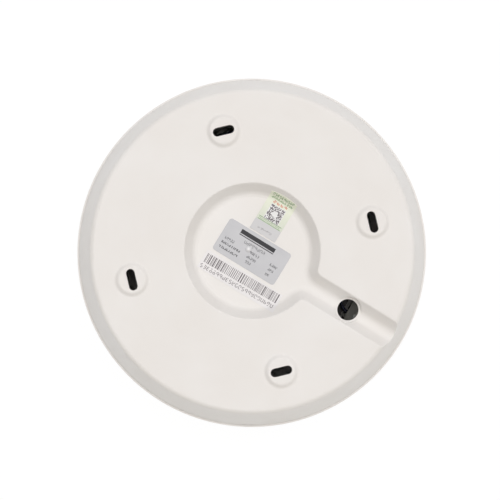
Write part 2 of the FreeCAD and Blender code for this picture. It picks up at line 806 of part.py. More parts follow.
def build_front_housing():
    body = new_body("front_housing")
    outer = dim.outer_diameter / 2
    front = -dim.overall_height
    parting = -dim.parting_depth
    round_height = front + dim.shoulder_round
    arc_start = outer - dim.shoulder_round
    inner_round = dim.shoulder_round - dim.wall
    seat_height = front + dim.grille_recess + dim.grille_thickness
    baffle_front = -dim.baffle_depth
    baffle_back = baffle_front + dim.baffle_thickness
    tongue_inner = dim.tongue_radius - dim.tongue_thickness
    profile = new_sketch(body, "front_shell_profile", "XZ_Plane")
    outline(profile, [
        (outer, parting),
        (dim.tongue_radius, parting),
        (dim.tongue_radius, parting + dim.tongue_rise),
        (tongue_inner, parting + dim.tongue_rise),
        (tongue_inner, parting - dim.tongue_drop),
        (dim.tongue_radius, parting - dim.tongue_drop),
        (dim.tongue_radius, parting - dim.ledge_thickness),
        (outer - dim.wall, parting - dim.ledge_thickness),
        (outer - dim.wall, round_height, -inner_round),
        (arc_start, front + dim.wall),
        (dim.front_opening_radius, front + dim.wall),
        (dim.front_opening_radius, baffle_back),
        (dim.baffle_hole_radius, baffle_back),
        (dim.baffle_hole_radius, baffle_front),
        (dim.grille_seat_radius, baffle_front),
        (dim.grille_seat_radius, seat_height),
        (dim.front_opening_radius, seat_height),
        (dim.front_opening_radius, front),
        (arc_start, front, dim.shoulder_round),
        (outer, round_height),
    ])
    revolve(body, "front_shell", profile)

    rib = new_sketch(body, "shoulder_rib_profile", "XZ_Plane")
    rib_bite = dim.shoulder_rib_bite
    rib_top = round_height + dim.shoulder_rib_rise
    outline(rib, [
        (dim.front_opening_radius - rib_bite, baffle_back - dim.overlap * 2),
        (dim.front_opening_radius - rib_bite, front + dim.wall),
        (dim.front_opening_radius + rib_bite, front + dim.wall - rib_bite),
        (arc_start, front + dim.wall - rib_bite, inner_round + rib_bite),
        (outer - dim.wall + rib_bite, round_height),
        (outer - dim.wall + rib_bite, rib_top),
        (outer - dim.wall, rib_top),
    ])
    first_rib = pad(body, "shoulder_rib", rib, dim.rib_thickness, both_ways=True)
    ribs = body.newObject("PartDesign::PolarPattern", "shoulder_ribs")
    ribs.Originals = [first_rib]
    axis = [feature for feature in body.Origin.OriginFeatures if feature.Role == "Z_Axis"][0]
    ribs.Axis = (axis, [""])
    ribs.Angle = 360.0
    ribs.Occurrences = 12
    body.Tip = ribs

    bosses = new_sketch(body, "driver_boss_circles", "XY_Plane", baffle_front + dim.overlap)
    circles(bosses, driver_screw_centres(), dim.boss_radius)
    pad(body, "driver_bosses", bosses, dim.driver_boss_height, downwards=True)

    sunk = baffle_back - dim.overlap
    shelf = new_sketch(body, "transformer_shelf_walls", "XY_Plane", sunk)
    shelf_outer = -dim.core_x - dim.core_stack / 2 + dim.rib_thickness * 1.5
    shelf_inner = shelf_outer + dim.transformer_shelf_width
    shelf_half = dim.core_length / 2
    rectangle(shelf, shelf_outer, -shelf_half, shelf_inner, shelf_half)
    rectangle(
        shelf, shelf_outer + dim.rib_thickness, -shelf_half + dim.rib_thickness,
        shelf_inner - dim.rib_thickness, shelf_half - dim.rib_thickness,
    )
    pad(body, "transformer_shelf", shelf, dim.shelf_height + dim.overlap)
    ear_bosses = new_sketch(body, "transformer_boss_circles", "XY_Plane", sunk)
    circles(ear_bosses, transformer_screw_centres(), dim.boss_radius)
    pad(body, "transformer_bosses", ear_bosses, dim.shelf_height + dim.overlap)

    block_shelf = new_sketch(body, "terminal_shelf_outline", "XY_Plane", sunk)
    half_width = dim.block_width / 2
    half_length = dim.block_length / 2
    rectangle(
        block_shelf, dim.block_x - half_width, -half_length, dim.block_x + half_width, half_length,
    )
    pad(body, "terminal_shelf", block_shelf, dim.block_shelf + dim.overlap)

    posts = new_sketch(body, "guide_post_circles", "XY_Plane", sunk)
    circles(posts, guide_post_centres(), dim.guide_post_radius)
    pad(body, "guide_posts", posts, dim.guide_post_height + dim.overlap)

    shelf_top = baffle_back + dim.shelf_height
    pilot_sets = (
        ("driver_pilots", driver_screw_centres(), baffle_back, dim.pilot_depth),
        ("transformer_pilots", transformer_screw_centres(), shelf_top, dim.pilot_depth * 1.5),
        ("terminal_pilots", block_screw_centres(), baffle_back + dim.block_shelf, dim.pilot_depth),
    )
    for name, centres, height, depth in pilot_sets:
        pilots = new_sketch(body, name + "_circles", "XY_Plane", height)
        circles(pilots, centres, dim.pilot_radius)
        pocket(body, name, pilots, depth)
    return body


# ---------------------------------------------------------------- grille and cloth


def solid_feature(label, shape):
    """A sub-part whose shape is worked out here, for the forms that sketches don't suit."""
    feature = doc.addObject("Part::Feature", label)
    feature.Shape = shape
    feature.Placement = FreeCAD.Placement()
    return feature


def build_grille():
    """A flat steel disc with rings of round holes, six more in each ring than in the one inside it."""
    up = FreeCAD.Vector(0, 0, 1)
    thickness = dim.grille_thickness.number
    height = -dim.overall_height.number + dim.grille_recess.number
    rim_radius = dim.front_opening_radius.number - dim.grille_clearance.number
    rim = Part.Circle(FreeCAD.Vector(0, 0, height), up, rim_radius)
    edges = [Part.Wire(rim.toShape())]
    for ring in range(int(dim.grille_hole_rings.number) + 1):
        ring_radius = ring * dim.grille_hole_pitch.number
        count = max(1, 6 * ring)
        for place in range(count):
            turn = 2 * math.pi * place / count
            x = ring_radius * math.cos(turn)
            y = ring_radius * math.sin(turn)
            hole = Part.Circle(FreeCAD.Vector(x, y, height), up, dim.grille_hole_radius.number)
            edges.append(Part.Wire(hole.toShape()))
    sheet_face = Part.Face(edges)
    sheet_face.validate()
    return solid_feature("grille", sheet_face.extrude(up * thickness))


def build_dust_cloth():
    body = new_body("dust_cloth")
    height = -dim.overall_height + dim.grille_recess + dim.grille_thickness
    circle = new_sketch(body, "dust_cloth_circle", "XY_Plane", height)
    circles(circle, [(0, 0)], dim.grille_seat_radius - dim.grille_clearance)
    pad(body, "dust_cloth_sheet", circle, dim.cloth_thickness)
    return body


# ---------------------------------------------------------------- loudspeaker driver


def ring_body(label, inner, outer, low, high):
    return turned(label, [(inner, low), (outer, low), (outer, high), (inner, high)])


# The heights where the driver's pieces meet, from its flange up to its magnet's back.
flange_front = -dim.baffle_depth + dim.baffle_thickness + dim.gasket_thickness
magnet_back = -dim.magnet_back_depth
top_plate_back = magnet_back - dim.plate_thickness - dim.magnet_thickness
top_plate_front = top_plate_back - dim.plate_thickness
cone_neck = top_plate_front - dim.cone_neck_depth
cone_rim = dim.surround_centre_radius - dim.surround_roll - dim.surround_glue_width


def build_driver_gasket():
    surround_edge = dim.surround_centre_radius + dim.surround_roll + dim.surround_flange_width
    body = ring_body(
        "driver_gasket", surround_edge + dim.gasket_thickness, dim.flange_radius - dim.gasket_thickness / 2,
        flange_front - dim.gasket_thickness, flange_front,
    )
    holes = new_sketch(body, "gasket_hole_circles", "XY_Plane", flange_front)
    circles(holes, driver_screw_centres(), dim.screw_shank_radius + dim.screw_clearance)
    pocket(body, "gasket_holes", holes, dim.gasket_thickness * 2)
    return body


def build_driver_basket():
    """A pressed steel frame: neck, spider shelf, sloping sides with six windows, and a flat flange."""
    metal = dim.sheet_metal
    bore = dim.coil_radius + dim.basket_bore_clearance
    shelf_front = top_plate_front - dim.spider_depth
    shelf_back = shelf_front + metal
    lip = dim.surround_centre_radius + dim.surround_roll - metal
    shoulder = dim.basket_shoulder_radius
    shoulder_height = top_plate_front - dim.basket_shoulder_depth
    body = turned("driver_basket", [
        (bore, top_plate_front),
        (bore, top_plate_front - metal),
        (dim.basket_neck_radius, top_plate_front - metal),
        (dim.spider_shelf_radius, shelf_front),
        (dim.spider_radius, shelf_front),
        (shoulder, shoulder_height),
        (lip, flange_front),
        (dim.flange_radius, flange_front),
        (dim.flange_radius, flange_front + metal),
        (lip + metal, flange_front + metal),
        (shoulder + metal, shoulder_height + metal / 2),
        (dim.spider_radius + metal / 2, shelf_back),
        (dim.spider_shelf_radius + metal, shelf_back),
        (dim.basket_neck_radius + metal, top_plate_front),
    ])
    windows = new_sketch(body, "basket_window_outlines", "XY_Plane")
    inner = dim.window_inner_radius
    outer = dim.window_outer_radius
    for number in range(6):
        first = 60.0 * number - dim.window_half_angle
        last = 60.0 * number + dim.window_half_angle
        outline(windows, [
            polar(inner, first),
            (*polar(outer, first), outer),
            polar(outer, last),
            (*polar(inner, last), -inner),
        ])
    pocket(body, "basket_windows", windows, dim.overall_height)
    holes = new_sketch(body, "flange_hole_circles", "XY_Plane", flange_front + metal * 2)
    circles(holes, driver_screw_centres(), dim.screw_shank_radius + dim.screw_clearance)
    pocket(body, "flange_holes", holes, metal * 3)
    return body


def build_driver_surround():
    """A half-roll rubber edge that bulges forwards between the cone and the flange."""
    middle = dim.surround_centre_radius
    roll = dim.surround_roll
    thickness = dim.surround_thickness
    outer = middle + roll + dim.surround_flange_width
    low = flange_front - thickness
    return turned("driver_surround", [
        (cone_rim, low),
        (middle - roll, low, roll),
        (middle, low - roll, roll),
        (middle + roll, low),
        (outer, low),
        (outer, flange_front),
        (middle + roll - thickness, flange_front),
        (middle + roll - thickness, low, -(roll - thickness)),
        (middle, low - roll + thickness, -(roll - thickness)),
        (middle - roll + thickness, low),
        (middle - roll + thickness, flange_front),
        (cone_rim, flange_front),
    ])


def build_driver_cone():
    """A paper cone from the coil's former out to a narrow lip that the surround is glued to."""
    thickness = dim.cone_thickness
    bend = cone_rim - dim.sheet_metal
    lip = cone_rim + dim.surround_glue_width + dim.glue_gap * 4
    bore = dim.coil_radius + dim.glue_gap
    return turned("driver_cone", [
        (bore, cone_neck),
        (bore, cone_neck - thickness),
        (bend, flange_front),
        (lip, flange_front),
        (lip, flange_front + thickness),
        (bend + thickness / 3, flange_front + thickness),
    ])


def build_driver_spider():
    """A corrugated cloth disc that centres the voice coil."""
    thickness = dim.spider_thickness
    height = top_plate_front - dim.spider_depth - thickness
    half_waves = 8
    step = (dim.spider_last_wave - dim.spider_first_wave) / half_waves
    front = [(dim.coil_radius + dim.glue_gap * 2, height), (dim.spider_first_wave, height)]
    for number in range(1, half_waves):
        swing = dim.spider_wave_height if number % 2 else size(0)
        front.append((dim.spider_first_wave + step * number, height - swing))
    front.append((dim.spider_last_wave, height))
    front.append((dim.spider_radius - dim.sheet_metal, height))
    rear = [(x, y + thickness) for x, y in reversed(front)]
    return turned("driver_spider", front + rear)


def build_driver_coil_parts():
    """The paper tube behind the cone, and the coil wound round it on either side of the top plate."""
    radius = dim.coil_radius
    former = ring_body(
        "driver_coil_former", radius - dim.former_thickness, radius,
        cone_neck - dim.former_overhang, top_plate_back + dim.former_rear_reach,
    )
    inner = radius + dim.glue_gap / 2
    winding = ring_body(
        "driver_voice_coil", inner, inner + dim.coil_thickness,
        top_plate_front - dim.coil_reach, top_plate_back + dim.coil_reach,
    )
    return [former, winding]


def build_driver_dust_cap():
    """A shallow dome over the former's front end, glued to the cone all round."""
    rim = dim.dust_cap_radius
    base = cone_neck - dim.dust_cap_offset
    bulge = dim.dust_cap_bulge
    thickness = dim.dust_cap_thickness
    drop = bulge - root(bulge * bulge - rim * rim)
    inner_bulge = bulge - thickness
    inner_rim = root(inner_bulge * inner_bulge - (bulge - drop) * (bulge - drop))
    return turned("driver_dust_cap", [
        (0, base - drop, bulge),
        (rim, base),
        (inner_rim, base, -inner_bulge),
        (0, base - drop + thickness),
    ])


def build_driver_magnet_parts():
    magnet_top = magnet_back - dim.plate_thickness
    top_plate = ring_body(
        "driver_top_plate", dim.coil_radius + dim.air_gap, dim.plate_radius,
        top_plate_front, top_plate_back,
    )
    magnet = ring_body(
        "driver_magnet", dim.coil_radius + dim.magnet_bore_clearance, dim.magnet_radius,
        top_plate_back, magnet_top,
    )
    yoke = turned("driver_yoke", [
        (0, top_plate_front),
        (dim.pole_radius, top_plate_front),
        (dim.pole_radius, magnet_top),
        (dim.plate_radius, magnet_top),
        (dim.plate_radius, magnet_back),
        (0, magnet_back),
    ])
    return [top_plate, magnet, yoke]


def build_driver_screws():
    bearing = flange_front + dim.sheet_metal
    return screws("driver_screws", driver_screw_centres(), bearing, dim.long_screw_length, head_up=True)


def tag_places():
    """Where the two solder tags stand along Y."""
    return (-dim.tag_offset - dim.tag_spacing / 2, -dim.tag_offset + dim.tag_spacing / 2)


def build_driver_tag_strip():
    """An insulating strip on the driver's flange, with two brass solder tags on it."""
    foot = flange_front + dim.sheet_metal
    strip = new_body("driver_tag_strip")
    board = new_sketch(strip, "tag_board_outline", "XY_Plane", foot)
    board_inner = -dim.tag_board_x
    board_outer = board_inner - dim.tag_board_thickness
    half_length = dim.tag_spacing * 1.25
    rectangle(board, board_outer, -dim.tag_offset - half_length, board_inner, -dim.tag_offset + half_length)
    pad(strip, "tag_board", board, dim.tag_board_height)
    tags = new_body("driver_tags", several_solids=True)
    plates = new_sketch(tags, "tag_outlines", "XY_Plane", foot + dim.tag_rise)
    half_width = dim.tag_width / 2
    for middle in tag_places():
        rectangle(
            plates, board_outer - dim.tag_thickness, middle - half_width,
            board_outer, middle + half_width,
        )
    pad(tags, "tag_plates", plates, dim.tag_board_height)
    return [strip, tags]


# ---------------------------------------------------------------- line transformer


def build_transformer():
    base = -dim.baffle_depth + dim.baffle_thickness + dim.shelf_height
    top = base + dim.core_height
    half_length = dim.core_length / 2
    half_stack = dim.core_stack / 2
    leg = dim.core_leg
    window = dim.core_window
    centre_leg_half = half_length - leg - window

    core = new_body("transformer_core")
    block = new_sketch(core, "core_outline", "XY_Plane", base)
    rectangle(block, -dim.core_x - half_stack, -half_length, -dim.core_x + half_stack, half_length)
    pad(core, "core_stack_block", block, dim.core_height)
    windows = new_sketch(core, "core_window_outlines", "YZ_Plane")
    for side in (-1, 1):
        edges = sorted([side * centre_leg_half, side * (half_length - leg)], key=lambda edge: edge.number)
        rectangle(windows, edges[0], base + leg, edges[1], top - leg)
    pocket(core, "core_windows", windows, dim.outer_diameter * 2, both_ways=True)

    clearance = dim.bobbin_clearance
    tube_wall = dim.bobbin_wall
    bobbin = new_body("transformer_bobbin")
    inner_y = centre_leg_half + clearance
    inner_x = half_stack + clearance
    low = base + leg + clearance
    high = top - leg - clearance
    flange_y = centre_leg_half + window - clearance
    flange_x = half_stack + dim.bobbin_overhang
    flange = new_sketch(bobbin, "bobbin_flange_outline", "XY_Plane", low)
    rectangle(flange, -dim.core_x - flange_x, -flange_y, -dim.core_x + flange_x, flange_y)
    rectangle(flange, -dim.core_x - inner_x, -inner_y, -dim.core_x + inner_x, inner_y)
    pad(bobbin, "bobbin_block", flange, high - low)
    waist = new_sketch(bobbin, "bobbin_waist_outline", "XY_Plane", low + tube_wall)
    cut_x = flange_x + dim.overrun
    cut_y = flange_y + dim.overrun
    rectangle(waist, -dim.core_x - cut_x, -cut_y, -dim.core_x + cut_x, cut_y)
    waist_x = inner_x + tube_wall
    waist_y = inner_y + tube_wall
    rectangle(waist, -dim.core_x - waist_x, -waist_y, -dim.core_x + waist_x, waist_y)
    pocket(bobbin, "bobbin_waist", waist, high - low - 2 * tube_wall, upwards=True)

    winding = new_body("transformer_winding")
    ease = clearance / 2
    turns = new_sketch(winding, "winding_outline", "XY_Plane", low + tube_wall + ease)
    wound_x = flange_x - dim.winding_inset
    wound_y = flange_y - dim.winding_inset
    rounded_rectangle(
        turns, -dim.core_x - wound_x, -wound_y, -dim.core_x + wound_x, wound_y, dim.winding_corner,
    )
    hollow_x = waist_x + ease
    hollow_y = waist_y + ease
    rectangle(turns, -dim.core_x - hollow_x, -hollow_y, -dim.core_x + hollow_x, hollow_y)
    pad(winding, "winding_turns", turns, high - low - 2 * tube_wall - clearance)

    bracket = new_body("transformer_bracket")
    sheet_metal = dim.sheet_metal
    strap = new_sketch(bracket, "bracket_profile", "YZ_Plane", -dim.core_x - half_stack + dim.strap_inset)
    outer_y = half_length + sheet_metal
    ear = dim.ear_reach + dim.ear_length
    outline(strap, [
        (half_length, base),
        (ear, base),
        (ear, base + sheet_metal),
        (outer_y, base + sheet_metal),
        (outer_y, top + sheet_metal),
        (-outer_y, top + sheet_metal),
        (-outer_y, base + sheet_metal),
        (-ear, base + sheet_metal),
        (-ear, base),
        (-half_length, base),
        (-half_length, top),
        (half_length, top),
    ])
    pad(bracket, "bracket_strap", strap, dim.core_stack - 2 * dim.strap_inset)
    holes = new_sketch(bracket, "bracket_hole_circles", "XY_Plane", base + sheet_metal * 2)
    circles(holes, transformer_screw_centres(), dim.screw_shank_radius + dim.screw_clearance)
    pocket(bracket, "bracket_holes", holes, sheet_metal * 3)

    fixing = screws(
        "transformer_screws", transformer_screw_centres(), base + sheet_metal,
        dim.long_screw_length, head_up=True,
    )
    return [core, bobbin, winding, bracket, fixing]


# ---------------------------------------------------------------- terminal block


def pole_places():
    return [(dim.block_x, dim.pole_pitch * (number - 1)) for number in range(3)]


def build_terminal_block():
    base = -dim.baffle_depth + dim.baffle_thickness + dim.block_shelf
    half_width = dim.block_width / 2
    half_length = dim.block_length / 2
    wire_height = base + dim.wire_way_height
    clamp_half = dim.wire_way_width / 2
    clamp_top = wire_height + clamp_half
    ear_top = base + dim.block_ear_height

    block = new_body("terminal_block")
    shape = new_sketch(block, "terminal_block_outline", "XY_Plane", base)
    rectangle(shape, dim.block_x - half_width, -half_length, dim.block_x + half_width, half_length)
    pad(block, "terminal_block_body", shape, dim.block_height)
    shoulders = new_sketch(block, "terminal_shoulder_outlines", "XY_Plane", base + dim.block_height)
    inner_edge = dim.block_x - half_width - dim.overrun
    outer_edge = dim.block_x + half_width + dim.overrun
    shoulder = half_length - dim.block_ear_length
    beyond = half_length + dim.overrun
    rectangle(shoulders, inner_edge, -beyond, outer_edge, -shoulder)
    rectangle(shoulders, inner_edge, shoulder, outer_edge, beyond)
    pocket(block, "terminal_shoulders", shoulders, dim.block_height - dim.block_ear_height)
    wire_ways = new_sketch(block, "wire_way_outlines", "YZ_Plane")
    across = [y for x, y in pole_places()]
    for y in across:
        rectangle(wire_ways, y - clamp_half, wire_height - clamp_half, y + clamp_half, clamp_top)
    pocket(block, "wire_ways", wire_ways, dim.outer_diameter, upwards=True)
    screw_ways = new_sketch(block, "screw_way_circles", "XY_Plane", base + dim.block_height)
    circles(screw_ways, pole_places(), dim.clamp_screw_radius + dim.screw_clearance)
    pocket(block, "screw_ways", screw_ways, dim.block_height - dim.wire_way_height)
    fixing_holes = new_sketch(block, "terminal_fixing_circles", "XY_Plane", base + dim.block_height)
    circles(fixing_holes, block_screw_centres(), dim.screw_shank_radius + dim.screw_clearance)
    pocket(block, "terminal_fixing_holes", fixing_holes, dim.block_height * 2)

    clamps = new_body("terminal_clamps", several_solids=True)
    bars = new_sketch(clamps, "clamp_outlines", "XY_Plane", wire_height - clamp_half)
    clamp_inner = dim.block_x - dim.clamp_length / 2
    clamp_outer = dim.block_x + dim.clamp_length / 2
    for y in across:
        rectangle(bars, clamp_inner, y - clamp_half, clamp_outer, y + clamp_half)
    pad(clamps, "clamp_bars", bars, dim.wire_way_width)
    bores = new_sketch(clamps, "clamp_bore_circles", "YZ_Plane")
    circles(bores, [(y, wire_height) for y in across], dim.clamp_bore_radius)
    pocket(clamps, "clamp_bores", bores, dim.outer_diameter, upwards=True)

    clamp_screws = new_body("terminal_clamp_screws", several_solids=True)
    heads = new_sketch(clamp_screws, "clamp_screw_circles", "XY_Plane", clamp_top)
    circles(heads, pole_places(), dim.clamp_screw_radius)
    pad(clamp_screws, "clamp_screw_bodies", heads, dim.clamp_screw_length)
    head_top = clamp_top + dim.clamp_screw_length
    grooves = new_sketch(clamp_screws, "clamp_screw_grooves", "XY_Plane", head_top)
    groove_half = dim.clamp_screw_groove / 2
    for x, y in pole_places():
        reach = dim.clamp_screw_radius + dim.overlap
        rectangle(grooves, x - reach, y - groove_half, x + reach, y + groove_half)
    pocket(clamp_screws, "clamp_screw_slots", grooves, dim.clamp_screw_groove * 1.5)

    fixing = screws(
        "terminal_fixing_screws", block_screw_centres(), ear_top, dim.long_screw_length, head_up=True,
    )
    return [block, clamps, clamp_screws, fixing]


# ---------------------------------------------------------------- leads


# The share of a straight run that the bend at either end of it may take up.
BEND_SHARE = 0.45


def tube(label, points, radius):
    """A lead along straight runs joined by tangent arcs, each as large as its two runs allow."""
    points = [FreeCAD.Vector(*point) for point in points]
    edges = []
    at = points[0]
    smallest = None
    for before, corner, after in zip(points, points[1:], points[2:]):
        back = (before - corner).normalize()
        ahead = (after - corner).normalize()
        turn = math.pi - back.getAngle(ahead)
        cut = BEND_SHARE * min((corner - before).Length, (after - corner).Length)
        bend = cut / math.tan(turn / 2)
        smallest = bend if smallest is None else min(smallest, bend)
        first = corner + back * cut
        last = corner + ahead * cut
        bisector = (back + ahead).normalize()
        centre = corner + bisector * (bend / math.cos(turn / 2))
        middle = centre - bisector * bend
        edges.append(Part.LineSegment(at, first).toShape())
        edges.append(Part.Arc(first, middle, last).toShape())
        at = last
    edges.append(Part.LineSegment(at, points[-1]).toShape())
    path = Part.Wire(edges)
    start = (points[1] - points[0]).normalize()
    ring = Part.Wire(Part.Circle(points[0], start, radius).toShape())
    shape = path.makePipeShell([ring], True, False)
    straight_volume = math.pi * radius ** 2 * path.Length
    print("%s: length %.1f, smallest bend %.1f, volume ratio %.4f" % (
        label, path.Length, smallest, shape.Volume / straight_volume))
    return solid_feature(label, shape)


def primary_routes():
    """The three line leads: from the winding round the driver, between the guide posts, into the block."""
    red = [
        (-59.6, 5.0, -30.0), (-50.0, 5.0, -30.0), (-44.5, 10.5, -33.0), (-45.0, 24.0, -40.0),
        (-54.1, 48.7, -47.0), (-28.4, 67.0, -47.0), (2.5, 72.8, -47.0), (33.1, 64.9, -47.0),
        (53.0, 42.0, -47.0), (52.0, 20.0, -48.0), (54.0, 0.5, -49.0), (60.5, -8.0, -49.0),
        (74.5, -8.0, -49.0),
    ]
    blue = [
        (-59.6, 9.0, -30.0), (-52.0, 9.0, -30.0), (-47.2, 13.8, -33.0), (-48.0, 26.0, -40.0),
        (-56.0, 50.5, -47.0), (-29.5, 69.4, -47.0), (2.6, 75.4, -47.0), (34.2, 67.2, -47.0),
        (55.5, 43.5, -47.0), (55.5, 24.0, -48.0), (57.5, 8.0, -49.0), (63.5, 0.0, -49.0),
        (74.5, 0.0, -49.0),
    ]
    white = [
        (-59.6, 13.0, -30.0), (-54.0, 13.0, -30.0), (-50.0, 17.2, -33.0), (-51.0, 28.0, -40.0),
        (-57.9, 52.1, -47.0), (-30.4, 71.7, -47.0), (2.7, 77.9, -47.0), (35.4, 69.4, -47.0),
        (58.0, 45.0, -47.0), (59.0, 28.0, -48.0), (61.0, 15.5, -49.0), (66.5, 8.0, -49.0),
        (74.5, 8.0, -49.0),
    ]
    return {"lead_red": red, "lead_blue": blue, "lead_white": white}


def secondary_route(across):
    """A lead in one plane that loops over from the winding to the back of a solder tag."""
    return [
        (-59.6, across, -29.0), (-47.3, across, -29.0), (-43.1, across, -36.25),
        (-47.3, across, -43.5), (-55.6, across, -43.5),
    ]


def tinsel_route(tag):
    """A flexible lead from the tag board, through a window of the basket, to the back of the cone."""
    across = tag + 2.6
    return [
        (-53.9, across, -46.2), (-48.5, across, -43.2), (-40.0, across * 0.93, -41.8),
        (-31.5, across * 0.82, -44.2), (-24.5, across * 0.7, -46.6),
    ]


def build_leads():
    leads = [tube(label, route, dim.lead_radius.number) for label, route in primary_routes().items()]
    for number, place in enumerate(tag_places(), start=1):
        across = place.number
        leads.append(tube("driver_lead_%d" % number, secondary_route(across), dim.lead_radius.number))
        leads.append(tube("tinsel_lead_%d" % number, tinsel_route(across), dim.tinsel_radius.number))
    return leads


builders = (
    build_back_plate,
    build_retaining_springs,
    build_spring_screws,
    build_rating_label,
    build_serial_label,
    build_security_label,
    build_front_housing,
    build_grille,
    build_dust_cloth,
    build_driver_gasket,
    build_driver_basket,
    build_driver_surround,
    build_driver_cone,
    build_driver_spider,
    build_driver_coil_parts,
    build_driver_dust_cap,
    build_driver_magnet_parts,
    build_driver_screws,
    build_driver_tag_strip,
    build_transformer,
    build_terminal_block,
    build_leads,
)
pieces = []
for builder in builders:
    made = builder()
    pieces += made if isinstance(made, list) else [made]
doc.recompute()

for thing in doc.Objects:
    if "Invalid" in thing.State or "Error" in thing.State:
        raise RuntimeError("%s failed: %s" % (thing.Name, thing.State))
os.makedirs("parts", exist_ok=True)
for piece in pieces:
    if piece.Shape.isNull() or not piece.Shape.isValid() or not piece.Shape.Solids:
        raise RuntimeError("%s has no valid solid" % piece.Label)
    piece.Shape.exportStep("parts/%s.step" % piece.Label)
    print("%-26s %2d solid(s) %10.1f mm3" % (piece.Label, len(piece.Shape.Solids), piece.Shape.Volume))
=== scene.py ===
import json
import math
import random

import bmesh
import bpy
from mathutils import Matrix, Vector


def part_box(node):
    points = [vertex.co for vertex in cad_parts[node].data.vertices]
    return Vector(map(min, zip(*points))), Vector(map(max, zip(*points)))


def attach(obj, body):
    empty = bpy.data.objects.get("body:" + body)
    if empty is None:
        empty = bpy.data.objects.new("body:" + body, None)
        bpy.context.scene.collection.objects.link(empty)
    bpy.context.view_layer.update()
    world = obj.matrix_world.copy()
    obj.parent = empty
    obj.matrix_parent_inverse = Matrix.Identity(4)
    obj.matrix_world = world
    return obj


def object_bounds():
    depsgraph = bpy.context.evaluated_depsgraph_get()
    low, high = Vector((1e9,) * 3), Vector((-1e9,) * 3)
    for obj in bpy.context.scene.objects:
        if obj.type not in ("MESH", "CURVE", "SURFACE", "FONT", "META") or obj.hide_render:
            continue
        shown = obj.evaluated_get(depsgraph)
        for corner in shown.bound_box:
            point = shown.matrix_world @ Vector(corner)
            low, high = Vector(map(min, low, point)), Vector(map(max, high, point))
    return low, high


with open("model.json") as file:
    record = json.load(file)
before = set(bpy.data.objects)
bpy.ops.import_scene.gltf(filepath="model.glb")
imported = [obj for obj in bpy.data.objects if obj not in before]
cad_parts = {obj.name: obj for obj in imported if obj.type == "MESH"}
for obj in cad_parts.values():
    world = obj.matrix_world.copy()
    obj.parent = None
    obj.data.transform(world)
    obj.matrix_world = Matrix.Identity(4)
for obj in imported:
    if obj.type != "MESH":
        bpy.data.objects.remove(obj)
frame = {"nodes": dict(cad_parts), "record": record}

# The back of a round, surface-mounted ceiling loudspeaker, seen from the ceiling's side.
# Lengths are in metres; MM turns a size in millimetres into metres.
MM = 0.001
size_at_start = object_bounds()


# ---------------------------------------------------------------- where the CAD puts things

floor_height = size_at_start[0].z
rim_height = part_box("back_plate")[0].z
rating_low, rating_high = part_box("rating_label")
recess_floor = rating_low.z
label_thickness = rating_high.z - rating_low.z
seal_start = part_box("security_label")[0].y

# Where the security label's silver tail and its green film end, measured along it.
tail_end = seal_start + 7.0 * MM
seal_end = seal_start + 25.6 * MM
# Where the back plate's moulding gate left a nub under the rating label, and where the silver film
# carries a painted highlight over it.
gate_nub = (-2.4 * MM, -0.2 * MM, rating_high.z)


# ---------------------------------------------------------------- camera

CAMERA_HEIGHT = 1.0  # over the flat back
VIEW_WIDTH = 0.294  # what the picture takes in where the two housings meet
ROLL = math.radians(31.5)  # from the cable channel to the picture's right
TILT = math.radians(2.0)  # from straight down
LEAN_RIGHT, LEAN_UP = -0.31, -0.95  # which way it tilts, in the picture's own directions
AIM_RIGHT, AIM_UP = -1.1 * MM, 1.3 * MM  # from the housing's axis to the picture's middle


def in_plane(angle):
    """The unit vector in the ceiling's plane at that angle from the cable channel."""
    return Vector((math.cos(angle), math.sin(angle), 0))


picture_right = in_plane(ROLL)
picture_up = in_plane(ROLL + math.pi / 2)
UPWARDS = Vector((0, 0, 1))


def add_camera():
    """Looks almost straight down on the back, from a little below the picture's middle."""
    data = bpy.data.cameras.new("camera")
    camera = bpy.data.objects.new("camera", data)
    bpy.context.scene.collection.objects.link(camera)
    lean = (picture_up * LEAN_UP + picture_right * LEAN_RIGHT).normalized()
    backwards = UPWARDS * math.cos(TILT) + lean * math.sin(TILT)
    aim = UPWARDS * rim_height + picture_right * AIM_RIGHT + picture_up * AIM_UP
    distance = CAMERA_HEIGHT - rim_height
    right = picture_up.cross(backwards).normalized()
    up = backwards.cross(right)
    place = aim + backwards * distance
    turn = Matrix((right, up, backwards)).transposed()
    camera.matrix_world = Matrix.Translation(place) @ turn.to_4x4()
    data.lens = data.sensor_width * distance / VIEW_WIDTH
    bpy.context.scene.camera = camera


add_camera()


# ---------------------------------------------------------------- materials


def srgb(red, green, blue):
    """A colour given as 0 to 255 on a screen, as the linear values that a shader takes."""
    values = []
    for level in (red, green, blue):
        share = level / 255
        values.append(share / 12.92 if share <= 0.04045 else ((share + 0.055) / 1.055) ** 2.4)
    return (*values, 1.0)


